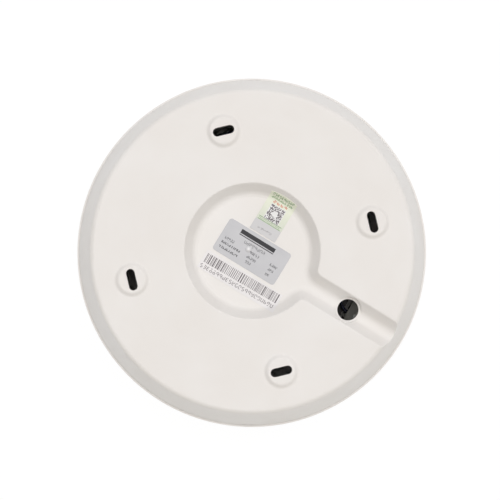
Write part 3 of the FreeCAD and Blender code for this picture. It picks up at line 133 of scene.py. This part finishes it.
class Nodes:
    """A node tree that is being put together."""

    # A Mix node has a socket of each name for every kind of data; these are its colours.
    MIX_FIRST, MIX_SECOND, MIX_RESULT = 6, 7, 2

    def __init__(self, owner):
        owner.use_nodes = True
        self.tree = owner.node_tree

    def add(self, kind, inputs=(), **settings):
        """A node with these settings; inputs pairs sockets with values or other nodes' outputs."""
        node = self.tree.nodes.new(kind)
        for setting, value in settings.items():
            setattr(node, setting, value)
        for socket, value in inputs:
            if isinstance(value, bpy.types.NodeSocket):
                self.tree.links.new(value, node.inputs[socket])
            else:
                node.inputs[socket].default_value = value
        return node

    def maths(self, operation, first, second):
        """A sum on two numbers."""
        inputs = [(0, first), (1, second)]
        return self.add("ShaderNodeMath", inputs, operation=operation).outputs[0]

    def vector_maths(self, operation, first, second):
        """A sum on two vectors whose result is a number."""
        inputs = [(0, first), (1, second)]
        return self.add("ShaderNodeVectorMath", inputs, operation=operation).outputs["Value"]

    def mixed(self, factor, first, second):
        """The first colour where the factor is 0, turning to the second where it is 1."""
        inputs = [("Factor", factor), (self.MIX_FIRST, first), (self.MIX_SECOND, second)]
        return self.add("ShaderNodeMix", inputs, data_type="RGBA").outputs[self.MIX_RESULT]


class Finish(Nodes):
    """A material being made: its Principled shader and the nodes that drive it."""

    def __init__(self, name, roughness, metallic=0.0, colour=None, **sockets):
        self.material = bpy.data.materials.new(name)
        super().__init__(self.material)
        self.shader = self.tree.nodes["Principled BSDF"]
        self.shader.inputs["Roughness"].default_value = roughness
        self.shader.inputs["Metallic"].default_value = metallic
        if colour:
            self.shader.inputs["Base Color"].default_value = colour
        for socket, value in sockets.items():
            self.shader.inputs[socket.replace("_", " ")].default_value = value
        self.place = self.add("ShaderNodeTexCoord").outputs["Object"]
        self.surface = None

    def stretched(self, scale, turn=0.0):
        """The piece's own coordinates, scaled along each axis and turned about the vertical one."""
        inputs = [("Vector", self.place), ("Scale", scale), ("Rotation", (0, 0, turn))]
        return self.add("ShaderNodeMapping", inputs).outputs["Vector"]

    def noise(self, grain, detail, stretch=(1, 1, 1), roughness=0.5):
        """Cloudy noise from 0 to 1 whose lumps are about one grain across."""
        vector = self.stretched(stretch)
        inputs = [
            ("Vector", vector), ("Scale", 1 / grain), ("Detail", detail), ("Roughness", roughness),
        ]
        return self.add("ShaderNodeTexNoise", inputs).outputs["Fac"]

    def cells(self, grain):
        """The distance from the middles of cells about one grain across."""
        inputs = [("Vector", self.place), ("Scale", 1 / grain)]
        return self.add("ShaderNodeTexVoronoi", inputs).outputs["Distance"]

    def waves(self, pitch, direction, kind="BANDS", distortion=0.0, turn=0.0, profile="SIN"):
        """Even bands along that axis, or rings about it, one pitch apart."""
        vector = self.stretched((1, 1, 1), turn)
        # The texture repeats 20 times in a length of 2 pi at a scale of 1.
        scale = 2 * math.pi / (20 * pitch)
        inputs = [
            ("Vector", vector), ("Scale", scale), ("Distortion", distortion), ("Detail Scale", 4.0),
        ]
        settings = {"wave_type": kind, "wave_profile": profile}
        settings[kind.lower() + "_direction"] = direction
        return self.add("ShaderNodeTexWave", inputs, **settings).outputs["Fac"]

    def between(self, factor, low, high, start=0.0, finish=1.0):
        """The factor carried from start and finish over to low and high."""
        inputs = [
            ("Value", factor), ("From Min", start), ("From Max", finish),
            ("To Min", low), ("To Max", high),
        ]
        return self.add("ShaderNodeMapRange", inputs).outputs["Result"]

    def span(self, factor, start, finish):
        """How far the factor has come from start to finish, from 0 to 1."""
        return self.between(factor, 0.0, 1.0, start, finish)

    def axis(self, name):
        """The piece's own coordinate along one axis."""
        return self.add("ShaderNodeSeparateXYZ", [("Vector", self.place)]).outputs[name]

    def colour(self, output):
        """Paints the surface with a colour output."""
        self.tree.links.new(output, self.shader.inputs["Base Color"])

    def rough(self, factor, low, high):
        """Lets the roughness run from low to high with the factor."""
        self.tree.links.new(self.between(factor, low, high), self.shader.inputs["Roughness"])

    def bump(self, height, depth):
        """Raises the surface by the height times the depth, on top of any bump before it."""
        inputs = [("Height", height), ("Distance", depth)]
        if self.surface:
            inputs.append(("Normal", self.surface))
        self.surface = self.add("ShaderNodeBump", inputs).outputs["Normal"]
        self.tree.links.new(self.surface, self.shader.inputs["Normal"])


def moulded_plastic(name, light, dark, roughness):
    """Injection-moulded plastic: fine eroded texture, faint flow clouds, rubbed glossier spots."""
    finish = Finish(name, roughness, Specular_IOR_Level=0.45)
    clouds = finish.noise(38 * MM, detail=3.0)
    handling = finish.noise(9 * MM, detail=5.0, roughness=0.65)
    finish.colour(finish.mixed(finish.span(clouds, 0.35, 0.7), dark, light))
    finish.rough(finish.span(handling, 0.3, 0.75), roughness - 0.07, roughness + 0.08)
    finish.bump(finish.noise(0.35 * MM, detail=3.0), 0.012 * MM)
    finish.bump(finish.noise(6 * MM, detail=1.0), 0.03 * MM)
    return finish.material


def white_abs():
    return moulded_plastic("white_abs", srgb(229, 227, 224), srgb(226, 223, 219), 0.42)


def powder_coat():
    """Sprayed white powder: smooth paint with a fine orange peel."""
    finish = Finish("grille_white", 0.38, Specular_IOR_Level=0.5)
    clouds = finish.noise(30 * MM, detail=2.0)
    finish.colour(finish.mixed(clouds, srgb(226, 224, 220), srgb(231, 229, 225)))
    finish.rough(finish.noise(2 * MM, detail=3.0), 0.32, 0.46)
    finish.bump(finish.noise(0.9 * MM, detail=2.0), 0.02 * MM)
    return finish.material


def woven(name, light, dark, pitch, roughness=0.85, sheen=0.2, turn=0.0):
    """Plain-woven cloth: two sets of threads that cross at a right angle, and a little fluff."""
    finish = Finish(name, roughness, Sheen_Weight=sheen, Sheen_Roughness=0.5)
    warp = finish.waves(pitch, "X", turn=turn)
    weft = finish.waves(pitch, "Y", turn=turn)
    threads = finish.maths("MULTIPLY", warp, weft)
    fluff = finish.noise(pitch * 5, detail=4.0)
    finish.colour(finish.mixed(finish.maths("MULTIPLY", threads, fluff), dark, light))
    finish.rough(fluff, roughness - 0.08, min(roughness + 0.1, 1.0))
    finish.bump(threads, pitch * 0.25)
    return finish.material


def dust_cloth():
    return woven("dust_cloth", srgb(62, 62, 64), srgb(20, 20, 21), 0.45 * MM)


def foam():
    """Closed-cell foam: small open bubbles of uneven size."""
    finish = Finish("gasket_foam", 0.95)
    bubbles = finish.cells(0.5 * MM)
    finish.colour(finish.mixed(bubbles, srgb(30, 30, 31), srgb(66, 66, 67)))
    finish.rough(bubbles, 0.85, 1.0)
    finish.bump(bubbles, 0.12 * MM)
    return finish.material


def basket_paint():
    """Brown-black stove enamel on pressed steel: thin, a little paler in worn patches."""
    finish = Finish("basket_black", 0.4, Coat_Weight=0.15, Coat_Roughness=0.3)
    wear = finish.noise(7 * MM, detail=5.0, roughness=0.6)
    worn = finish.span(wear, 0.45, 0.75)
    finish.colour(finish.mixed(worn, srgb(44, 32, 27), srgb(70, 54, 47)))
    finish.rough(wear, 0.3, 0.52)
    finish.bump(finish.noise(0.6 * MM, detail=3.0), 0.015 * MM)
    return finish.material


def surround_rubber():
    """Moulded rubber: matt, with talc left in its fine grain."""
    finish = Finish("surround_rubber", 0.75)
    talc = finish.noise(2.2 * MM, detail=6.0, roughness=0.7)
    dusted = finish.span(talc, 0.5, 0.85)
    finish.colour(finish.mixed(dusted, srgb(25, 25, 26), srgb(64, 63, 62)))
    finish.rough(talc, 0.62, 0.88)
    finish.bump(finish.noise(0.25 * MM, detail=2.0), 0.02 * MM)
    return finish.material


def spider_cloth():
    light, dark = srgb(214, 172, 96), srgb(150, 108, 48)
    return woven("spider_cloth", light, dark, 0.6 * MM, roughness=0.7, sheen=0.1)


def plated(name, light, dark, roughness, streaks):
    """Plated metal: cloudy passivation over fine tool marks, which run along the stretched axis."""
    finish = Finish(name, roughness, metallic=1.0)
    clouds = finish.noise(3.5 * MM, detail=4.0)
    marks = finish.noise(0.35 * MM, detail=2.0, stretch=streaks)
    finish.colour(finish.mixed(finish.span(clouds, 0.3, 0.75), dark, light))
    uneven = finish.maths("ADD", marks, finish.between(clouds, -0.2, 0.2))
    finish.rough(uneven, roughness - 0.1, roughness + 0.16)
    finish.bump(marks, 0.006 * MM)
    return finish.material


def plated_steel():
    return plated("plated_steel", srgb(214, 214, 208), srgb(178, 180, 176), 0.34, (1, 1, 1))


def spring_steel():
    return plated("spring_steel", srgb(196, 198, 202), srgb(150, 152, 158), 0.3, (0.12, 0.12, 1))


def ferrite():
    """Ground ferrite: nearly black, dull, with scattered chips and a dusty bloom."""
    finish = Finish("ferrite", 0.62, Specular_IOR_Level=0.6)
    bloom = finish.noise(5 * MM, detail=6.0, roughness=0.7)
    chips = finish.span(finish.cells(1.6 * MM), 0.08, 0.2)
    tone = finish.mixed(bloom, srgb(44, 44, 46), srgb(74, 73, 74))
    finish.colour(finish.mixed(chips, srgb(28, 28, 30), tone))
    finish.rough(bloom, 0.5, 0.75)
    finish.bump(chips, 0.03 * MM)
    return finish.material


def phenolic():
    """Paper laminate: brown resin with pale fibres in it."""
    finish = Finish("phenolic", 0.45, Coat_Weight=0.2, Coat_Roughness=0.25)
    fibres = finish.noise(0.8 * MM, detail=6.0, stretch=(1, 0.2, 1))
    shown = finish.span(fibres, 0.35, 0.7)
    finish.colour(finish.mixed(shown, srgb(112, 66, 32), srgb(158, 104, 58)))
    finish.rough(fibres, 0.36, 0.55)
    finish.bump(fibres, 0.01 * MM)
    return finish.material


def tinned_brass():
    return plated("tinned_brass", srgb(224, 216, 190), srgb(196, 180, 138), 0.28, (1, 1, 0.2))


def core_steel():
    """Stacked laminations half a millimetre thick, edge on, under brown varnish."""
    finish = Finish("core_steel", 0.5, metallic=0.55, Coat_Weight=0.25, Coat_Roughness=0.3)
    sheets = finish.waves(0.5 * MM, "X", profile="SAW")
    varnish = finish.noise(4 * MM, detail=5.0, roughness=0.6)
    steel = finish.mixed(varnish, srgb(66, 58, 50), srgb(116, 110, 102))
    gaps = finish.span(sheets, 0.0, 0.35)
    finish.colour(finish.mixed(gaps, srgb(30, 25, 20), steel))
    finish.rough(varnish, 0.36, 0.62)
    finish.bump(sheets, 0.05 * MM)
    return finish.material


def bobbin_nylon():
    return moulded_plastic("bobbin_nylon", srgb(44, 44, 46), srgb(32, 32, 34), 0.5)


def winding_tape():
    """Yellow polyester tape in overlapping laps, wound tight over the wire."""
    finish = Finish("winding_tape", 0.25, Coat_Weight=0.4, Coat_Roughness=0.12)
    laps = finish.waves(5.5 * MM, "Z", profile="SAW")
    wire = finish.waves(0.45 * MM, "Z")
    wrinkles = finish.noise(2.4 * MM, detail=3.0, stretch=(1, 1, 2.5))
    tone = finish.mixed(wrinkles, srgb(206, 150, 30), srgb(236, 196, 74))
    edges = finish.span(laps, 0.0, 0.08)
    finish.colour(finish.mixed(edges, srgb(168, 112, 20), tone))
    finish.rough(wrinkles, 0.16, 0.36)
    finish.bump(wire, 0.03 * MM)
    finish.bump(laps, 0.08 * MM)
    finish.bump(wrinkles, 0.12 * MM)
    return finish.material


def terminal_nylon():
    return moulded_plastic("terminal_nylon", srgb(222, 221, 212), srgb(212, 210, 199), 0.4)


def insulation(name, light, dark):
    """Extruded PVC: glossy, with faint lengthwise flow and a little dust."""
    finish = Finish(name, 0.32, Coat_Weight=0.2, Coat_Roughness=0.2)
    flow = finish.noise(1.2 * MM, detail=4.0)
    finish.colour(finish.mixed(finish.span(flow, 0.3, 0.7), dark, light))
    finish.rough(flow, 0.24, 0.42)
    finish.bump(finish.noise(0.5 * MM, detail=2.0), 0.02 * MM)
    return finish.material


def lead_red():
    return insulation("lead_red", srgb(190, 30, 28), srgb(150, 20, 20))


def lead_blue():
    return insulation("lead_blue", srgb(30, 44, 92), srgb(20, 30, 66))


def lead_white():
    return insulation("lead_white", srgb(230, 229, 224), srgb(206, 204, 198))


def lead_black():
    return insulation("lead_black", srgb(34, 34, 36), srgb(20, 20, 22))


def wound_copper(name, pitch, light, dark):
    """Copper strands side by side across the vertical axis."""
    finish = Finish(name, 0.3, metallic=1.0)
    strands = finish.waves(pitch, "Z", distortion=0.4)
    tarnish = finish.noise(1.6 * MM, detail=4.0)
    finish.colour(finish.mixed(finish.maths("MULTIPLY", strands, tarnish), dark, light))
    finish.rough(tarnish, 0.22, 0.44)
    finish.bump(strands, pitch * 0.3)
    return finish.material


def tinsel_copper():
    return wound_copper("tinsel_copper", 0.4 * MM, srgb(232, 158, 110), srgb(132, 72, 42))


def copper_wire():
    return wound_copper("copper_wire", 0.22 * MM, srgb(216, 122, 70), srgb(110, 48, 24))


def cone_paper():
    """Pressed pulp: matted fibres and shallow rings from the mould."""
    finish = Finish("cone_paper", 0.9, Sheen_Weight=0.15, Sheen_Roughness=0.6)
    fibres = finish.noise(0.7 * MM, detail=7.0, roughness=0.7)
    flecks = finish.noise(2.5 * MM, detail=5.0, roughness=0.65)
    matted = finish.maths("MULTIPLY", fibres, flecks)
    finish.colour(finish.mixed(matted, srgb(22, 22, 23), srgb(92, 91, 90)))
    finish.rough(fibres, 0.8, 1.0)
    finish.bump(fibres, 0.08 * MM)
    finish.bump(finish.waves(2.8 * MM, "Z", "RINGS"), 0.04 * MM)
    return finish.material


def dust_cap_cloth():
    light, dark = srgb(58, 58, 60), srgb(22, 22, 23)
    return woven("dust_cap_cloth", light, dark, 0.5 * MM, roughness=0.6, turn=0.4)


def former_paper():
    """Kraft paper: brown, with long fibres round the tube."""
    finish = Finish("former_paper", 0.8)
    fibres = finish.noise(0.5 * MM, detail=6.0, stretch=(0.3, 0.3, 1))
    finish.colour(finish.mixed(fibres, srgb(150, 116, 70), srgb(206, 172, 120)))
    finish.rough(fibres, 0.7, 0.9)
    finish.bump(fibres, 0.02 * MM)
    return finish.material


def silver_film():
    """Silver polyester film: satin grain along it, soft creases, and a nub pushing up from below
    with a painted highlight over it.
    """
    finish = Finish("silver_label", 0.42, metallic=0.3, Specular_IOR_Level=0.4)
    grain = finish.noise(0.3 * MM, detail=2.0, stretch=(0.05, 1, 1))
    creases = finish.noise(11 * MM, detail=2.0)
    offset = finish.vector_maths("DISTANCE", finish.place, gate_nub)
    nub_and_highlight = finish.between(offset, 1.0, 0.0, 0.3 * MM, 1.9 * MM)
    film = finish.mixed(creases, srgb(177, 178, 181), srgb(189, 189, 191))
    # painted highlight: the film's colour turns almost white over the nub
    finish.colour(finish.mixed(nub_and_highlight, film, srgb(226, 226, 227)))
    finish.rough(grain, 0.36, 0.52)
    finish.bump(grain, 0.004 * MM)
    finish.bump(creases, 0.05 * MM)
    finish.bump(nub_and_highlight, 0.5 * MM)
    return finish.material


def coated_paper():
    """White thermal paper: smooth, with a trace of fibre and one or two bubbles of trapped air."""
    finish = Finish("white_label", 0.5)
    fibres = finish.noise(0.6 * MM, detail=6.0)
    bubbles = finish.noise(8 * MM, detail=1.0)
    finish.colour(finish.mixed(fibres, srgb(225, 223, 223), srgb(230, 228, 228)))
    finish.rough(fibres, 0.44, 0.58)
    finish.bump(fibres, 0.008 * MM)
    finish.bump(finish.span(bubbles, 0.62, 0.8), 0.06 * MM)
    return finish.material


def printed_film():
    """The seal: pale green film with a fine wavy underprint, painted paler towards its outer end to
    lift the shade of the recess wall under it, and a silver tail at its inner end.
    """
    finish = Finish("green_label", 0.4)
    height = finish.axis("Y")
    lines = finish.waves(0.9 * MM, "Y", distortion=5.0)
    clouds = finish.noise(5 * MM, detail=3.0)
    pale = finish.mixed(clouds, srgb(206, 210, 198), srgb(217, 219, 209))
    green = finish.mixed(finish.between(lines, 0.0, 0.4), pale, srgb(197, 211, 181))
    # painted light: the film turns paler along its length towards the outer end, which lies on the
    # shaded recess wall
    rise = finish.span(height, tail_end, seal_end)
    film = finish.mixed(finish.maths("MULTIPLY", rise, 0.8), green, srgb(236, 239, 219))
    edge = finish.span(height, tail_end - 0.2 * MM, tail_end)
    finish.colour(finish.mixed(edge, srgb(201, 201, 202), film))
    finish.rough(clouds, 0.3, 0.5)
    finish.bump(clouds, 0.02 * MM)
    return finish.material


def ink(name, colour, paler):
    """Printed ink: thin, slightly broken up where the film shows through."""
    finish = Finish(name, 0.6)
    patches = finish.noise(0.5 * MM, detail=4.0)
    finish.colour(finish.mixed(finish.span(patches, 0.4, 0.9), colour, paler))
    finish.rough(patches, 0.5, 0.7)
    return finish.material


FINISHES = {
    "white_abs": white_abs,
    "grille_white": powder_coat,
    "dust_cloth": dust_cloth,
    "gasket_foam": foam,
    "basket_black": basket_paint,
    "surround_rubber": surround_rubber,
    "spider_cloth": spider_cloth,
    "plated_steel": plated_steel,
    "spring_steel": spring_steel,
    "ferrite": ferrite,
    "phenolic": phenolic,
    "tinned_brass": tinned_brass,
    "core_steel": core_steel,
    "bobbin_nylon": bobbin_nylon,
    "winding_tape": winding_tape,
    "terminal_nylon": terminal_nylon,
    "lead_red": lead_red,
    "lead_blue": lead_blue,
    "lead_white": lead_white,
    "lead_black": lead_black,
    "tinsel_copper": tinsel_copper,
    "copper_wire": copper_wire,
    "cone_paper": cone_paper,
    "dust_cap_cloth": dust_cap_cloth,
    "former_paper": former_paper,
    "silver_label": silver_film,
    "white_label": coated_paper,
    "green_label": printed_film,
}
made_finishes = {slot: make() for slot, make in FINISHES.items()}

black_ink = ink("ink_black", srgb(38, 38, 42), srgb(66, 66, 70))
grey_ink = ink("ink_grey", srgb(104, 99, 103), srgb(146, 141, 144))
red_ink = ink("ink_red", srgb(206, 96, 72), srgb(214, 138, 112))
green_ink = ink("ink_green", srgb(104, 148, 92), srgb(140, 172, 126))
white_ink = ink("ink_white", srgb(226, 227, 226), srgb(236, 236, 236))

for subpart in frame["record"]["subparts"]:
    mesh = frame["nodes"][subpart["node"]].data
    mesh.materials.clear()
    mesh.materials.append(made_finishes[subpart["material_slot"]])


# ---------------------------------------------------------------- printing on the labels

# The recess in the CAD: its rim, its depth, the rounding at the foot of its wall, and the slope.
RECESS_RADIUS = 39.2 * MM
RECESS_DEPTH = 5.8 * MM
RECESS_ROUND = 5.0 * MM
WALL_SLOPE = math.radians(45)
RECESS_FLAT_RADIUS = (
    RECESS_RADIUS - RECESS_DEPTH / math.tan(WALL_SLOPE) - RECESS_ROUND * math.tan(WALL_SLOPE / 2)
)
# How far the serial and security labels stand off the recess.
STICKER_GAP = 0.05 * MM

INK_GAP = 0.004 * MM
INK_THICKNESS = 0.02 * MM
INK_TOP = INK_GAP + INK_THICKNESS
# A sticker is drawn with flats where it bends, so ink there lies a little higher to clear them.
BEND_CLEARANCE = 0.045 * MM


def layer_height(radius, lift):
    """How high a layer that lines the recess is over its flat floor, with lift under the layer."""
    beyond = radius - RECESS_FLAT_RADIUS
    if beyond <= 0:
        return lift
    arc_radius = RECESS_ROUND - lift
    arc_end = arc_radius * math.sin(WALL_SLOPE)
    if beyond < arc_end:
        return RECESS_ROUND - math.sqrt(arc_radius**2 - beyond**2)
    arc_rise = RECESS_ROUND - arc_radius * math.cos(WALL_SLOPE)
    return arc_rise + (beyond - arc_end) * math.tan(WALL_SLOPE)


class Printing:
    """Marks of ink on one sticker, each a thin closed sheet that follows the sticker's face."""

    def __init__(self, name, lift):
        self.name = name
        self.lift = lift
        self.mesh = bmesh.new()

    def corner(self, x, y, lift):
        """A corner of a mark, with lift between it and the recess."""
        radius = math.hypot(x, y)
        if radius > RECESS_FLAT_RADIUS:
            lift += BEND_CLEARANCE
        return self.mesh.verts.new((x, y, recess_floor + layer_height(radius, lift)))

    def patch(self, corners):
        """One mark, from its corners in order, counter-clockwise seen from above."""
        bottom = [self.corner(x, y, self.lift + INK_GAP) for x, y in corners]
        top = [self.corner(x, y, self.lift + INK_TOP) for x, y in corners]
        self.mesh.faces.new(top)
        self.mesh.faces.new(list(reversed(bottom)))
        for number in range(len(corners)):
            after = (number + 1) % len(corners)
            self.mesh.faces.new((bottom[number], bottom[after], top[after], top[number]))

    def bar(self, x, y, width, height, turn=0.0):
        """A bar given by its middle and turned about it."""
        across = in_plane(turn) * width / 2
        upright = in_plane(turn + math.pi / 2) * height / 2
        middle = Vector((x, y, 0))
        corners = [
            middle - across - upright, middle + across - upright,
            middle + across + upright, middle - across + upright,
        ]
        self.patch([(corner.x, corner.y) for corner in corners])

    def glyph(self, x, y, width, height, line, strokes, turn=0.0):
        """A stand-in character: strokes placed by shares of its half width and half height."""
        along, up = in_plane(turn), in_plane(turn + math.pi / 2)
        for across, rise, lies in strokes:
            place = Vector((x, y, 0))
            place += along * across * (width - line) / 2
            place += up * rise * (height - line) / 2
            if lies:
                self.bar(place.x, place.y, width - STROKE_INSET * line, line, turn)
            else:
                self.bar(place.x, place.y, line, (height - line) * UPRIGHT_SHARE, turn)

    def finish(self, slot, material):
        """Adds the marks to the scene as one piece that rides with the back plate."""
        mesh = bpy.data.meshes.new(self.name)
        self.mesh.to_mesh(mesh)
        self.mesh.free()
        mesh.materials.append(material)
        piece = bpy.data.objects.new(self.name, mesh)
        bpy.context.scene.collection.objects.link(piece)
        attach(piece, "base")


# The seven strokes that a stand-in character picks from: across, up, and whether it lies flat.
STROKES = (
    (0, 1, True), (0, 0, True), (0, -1, True),
    (-1, 0.5, False), (-1, -0.5, False), (1, 0.5, False), (1, -0.5, False),
)
STROKES_PICKED = 5
# A lying stroke is shorter than the character by this many line weights, so that none touch.
STROKE_INSET = 2.4
# An upright stroke's share of the height, and a character's share of the pitch.
UPRIGHT_SHARE = 0.44
WIDTH_SHARE = 0.74


def word(printing, chance, start, end, y, height, weight, pitch, turn=0.0):
    """A run of stand-in characters, made of strokes picked at random, that spell nothing."""
    count = max(1, round((end - start) / pitch))
    along = in_plane(turn)
    for number in range(count):
        place = Vector((start, y, 0)) + along * pitch * (number + 0.5)
        strokes = chance.sample(STROKES, STROKES_PICKED)
        printing.glyph(place.x, place.y, pitch * WIDTH_SHARE, height, weight, strokes, turn)


def print_rating_label():
    """A plain heading bar with a rule under it, a line of marks, and a table of three columns."""
    chance = random.Random(11)
    printing = Printing("rating_label_print", label_thickness)
    heading_x, heading_length = -0.2 * MM, 22.6 * MM
    printing.bar(heading_x, y=6.8 * MM, width=heading_length, height=2.5 * MM)
    printing.bar(heading_x, y=4.75 * MM, width=heading_length, height=0.5 * MM)
    word(printing, chance, start=-6.9 * MM, end=7.2 * MM, y=2.4 * MM,
         height=1.9 * MM, weight=0.22 * MM, pitch=1.75 * MM)

    # Where each row's three words start and end, in millimetres.
    rows = (
        ((-17.7, -11.6), (-1.0, 4.9), (12.5, 17.8)),
        ((-18.3, -6.0), (-1.4, 4.9), (12.9, 16.6)),
        ((-18.3, -6.0), (-0.6, 3.2), (12.9, 15.6)),
    )
    first_row, row_pitch = -1.2, 2.95
    bold, regular = 0.4, 0.26
    for row, spans in enumerate(rows):
        y = (first_row - row_pitch * row) * MM
        for column, (start, end) in enumerate(spans):
            weight = (bold if column == 0 and row > 0 else regular) * MM
            word(printing, chance, start * MM, end * MM, y,
                 height=1.7 * MM, weight=weight, pitch=1.25 * MM)
    printing.finish("silver_label", black_ink)


def print_serial_label():
    """A bar pattern of random widths that holds no code, over a row of stand-in characters."""
    chance = random.Random(23)
    printing = Printing("serial_label_print", STICKER_GAP + label_thickness)
    turn = math.radians(1.3)
    start, end = -20.9 * MM, 27.0 * MM
    middle_y, bar_height = -16.45 * MM, 5.7 * MM
    bar_widths, gaps = (0.25, 0.25, 0.4, 0.7), (0.3, 0.45, 0.7)
    x = start
    while x < end:
        width = chance.choice(bar_widths) * MM
        y = middle_y + math.tan(turn) * (x - (start + end) / 2)
        printing.bar(x + width / 2, y, width, bar_height, turn)
        x += width + chance.choice(gaps) * MM
    word(printing, chance, start=-21.8 * MM, end=26.9 * MM, y=-22.2 * MM,
         height=2.4 * MM, weight=0.34 * MM, pitch=2.12 * MM, turn=turn)
    printing.finish("white_label", grey_ink)


def print_security_label():
    """A mosaic of random squares on white that holds no code, with rows of marks and two rules."""
    chance = random.Random(37)
    lift = STICKER_GAP + label_thickness
    middle_y = 24.9 * MM
    cell, cells = 0.5 * MM, 18
    white_margin = 0.35 * MM
    side = cell * cells + 2 * white_margin
    backing = Printing("security_label_white", lift)
    backing.bar(0, middle_y, width=side, height=side)
    backing.finish("green_label", white_ink)

    window_half_side = 1.3 * MM
    blank_share = 0.45
    inked = cell * 0.98
    mosaic = Printing("security_label_mosaic", lift + INK_TOP)
    for row in range(cells):
        for column in range(cells):
            across = (column - (cells - 1) / 2) * cell
            up = (row - (cells - 1) / 2) * cell
            in_window = max(abs(across), abs(up)) < window_half_side
            if in_window or chance.random() < blank_share:
                continue
            mosaic.bar(across, middle_y + up, width=inked, height=inked)
    word(mosaic, chance, start=-5.0 * MM, end=5.0 * MM, y=13.9 * MM,
         height=1.0 * MM, weight=0.12 * MM, pitch=1.9 * MM)
    mosaic.finish("green_label", grey_ink)

    reds = Printing("security_label_red_marks", lift)
    word(reds, chance, start=-4.9 * MM, end=4.9 * MM, y=31.2 * MM,
         height=1.6 * MM, weight=0.34 * MM, pitch=2.4 * MM)
    reds.finish("green_label", red_ink)

    greens = Printing("security_label_green_marks", lift)
    for y in (18.2 * MM, 20.0 * MM):
        greens.bar(0, y, width=15.0 * MM, height=0.3 * MM)
    word(greens, chance, start=-7.3 * MM, end=7.3 * MM, y=19.1 * MM,
         height=0.9 * MM, weight=0.12 * MM, pitch=0.95 * MM)
    for y in (33.2 * MM, 35.0 * MM):
        word(greens, chance, start=-7.0 * MM, end=7.0 * MM, y=y,
             height=1.4 * MM, weight=0.26 * MM, pitch=1.4 * MM)
    greens.finish("green_label", green_ink)


print_rating_label()
print_serial_label()
print_security_label()


# ---------------------------------------------------------------- floor and light

FLOOR_HALF_SIDE = 30.0
FLOOR_GREY = (0.07, 0.07, 0.07, 1.0)
FLOOR_GLOW = 0.94

# The room: its even light, how much brighter one side is, and where that side is from the
# picture's right. Its colour turns to the warm one towards the picture's bottom.
ROOM_STRENGTH = 0.165
ROOM_SLOPE = 0.2
ROOM_TURN = math.radians(-66)
ROOM_COLOUR = (1.0, 0.985, 0.99, 1.0)
WARM_COLOUR = (1.0, 0.92, 0.79, 1.0)
# The glow overhead: how narrow it is, how far it leans, and which way from the picture's right.
GLOW_STRENGTH = 2.26
GLOW_TIGHTNESS = 3.0
GLOW_LEAN = math.radians(15)
GLOW_TURN = math.radians(80)


def add_floor():
    """A white floor that glows, so that it stays white right up to the housing."""
    mesh = bpy.data.meshes.new("floor")
    corners = [
        (x * FLOOR_HALF_SIDE, y * FLOOR_HALF_SIDE, floor_height)
        for x, y in ((-1, -1), (1, -1), (1, 1), (-1, 1))
    ]
    mesh.from_pydata(corners, [], [(0, 1, 2, 3)])
    floor = bpy.data.objects.new("floor", mesh)
    bpy.context.scene.collection.objects.link(floor)
    white = Finish("floor_white", 0.9, colour=FLOOR_GREY, Specular_IOR_Level=0.1)
    white.shader.inputs["Emission Color"].default_value = (1, 1, 1, 1)
    white.shader.inputs["Emission Strength"].default_value = FLOOR_GLOW
    mesh.materials.append(white.material)


def add_world():
    """A pale room, brighter on one side and warmer on another, under a soft glow that leans."""
    world = bpy.data.worlds.new("studio")
    bpy.context.scene.world = world
    room = Nodes(world)
    direction = room.add("ShaderNodeTexCoord").outputs["Generated"]

    def along(axis):
        """How closely each direction lies along an axis, from -1 to 1."""
        return room.vector_maths("DOT_PRODUCT", direction, axis)

    overhead = UPWARDS * math.cos(GLOW_LEAN) + in_plane(ROLL + GLOW_TURN) * math.sin(GLOW_LEAN)
    glow = room.maths("POWER", room.maths("MAXIMUM", along(overhead), 0.0), GLOW_TIGHTNESS)
    slope = room.maths("MULTIPLY", along(in_plane(ROLL + ROOM_TURN)), ROOM_SLOPE)
    walls = room.maths("MAXIMUM", room.maths("ADD", slope, ROOM_STRENGTH), 0.0)
    strength = room.maths("ADD", room.maths("MULTIPLY", glow, GLOW_STRENGTH), walls)
    warmth = room.maths("MAXIMUM", along(-picture_up), 0.0)
    background = room.tree.nodes["Background"]
    room.tree.links.new(room.mixed(warmth, ROOM_COLOUR, WARM_COLOUR), background.inputs["Color"])
    room.tree.links.new(strength, background.inputs["Strength"])


add_floor()
add_world()
bpy.context.scene.view_settings.view_transform = "Standard"
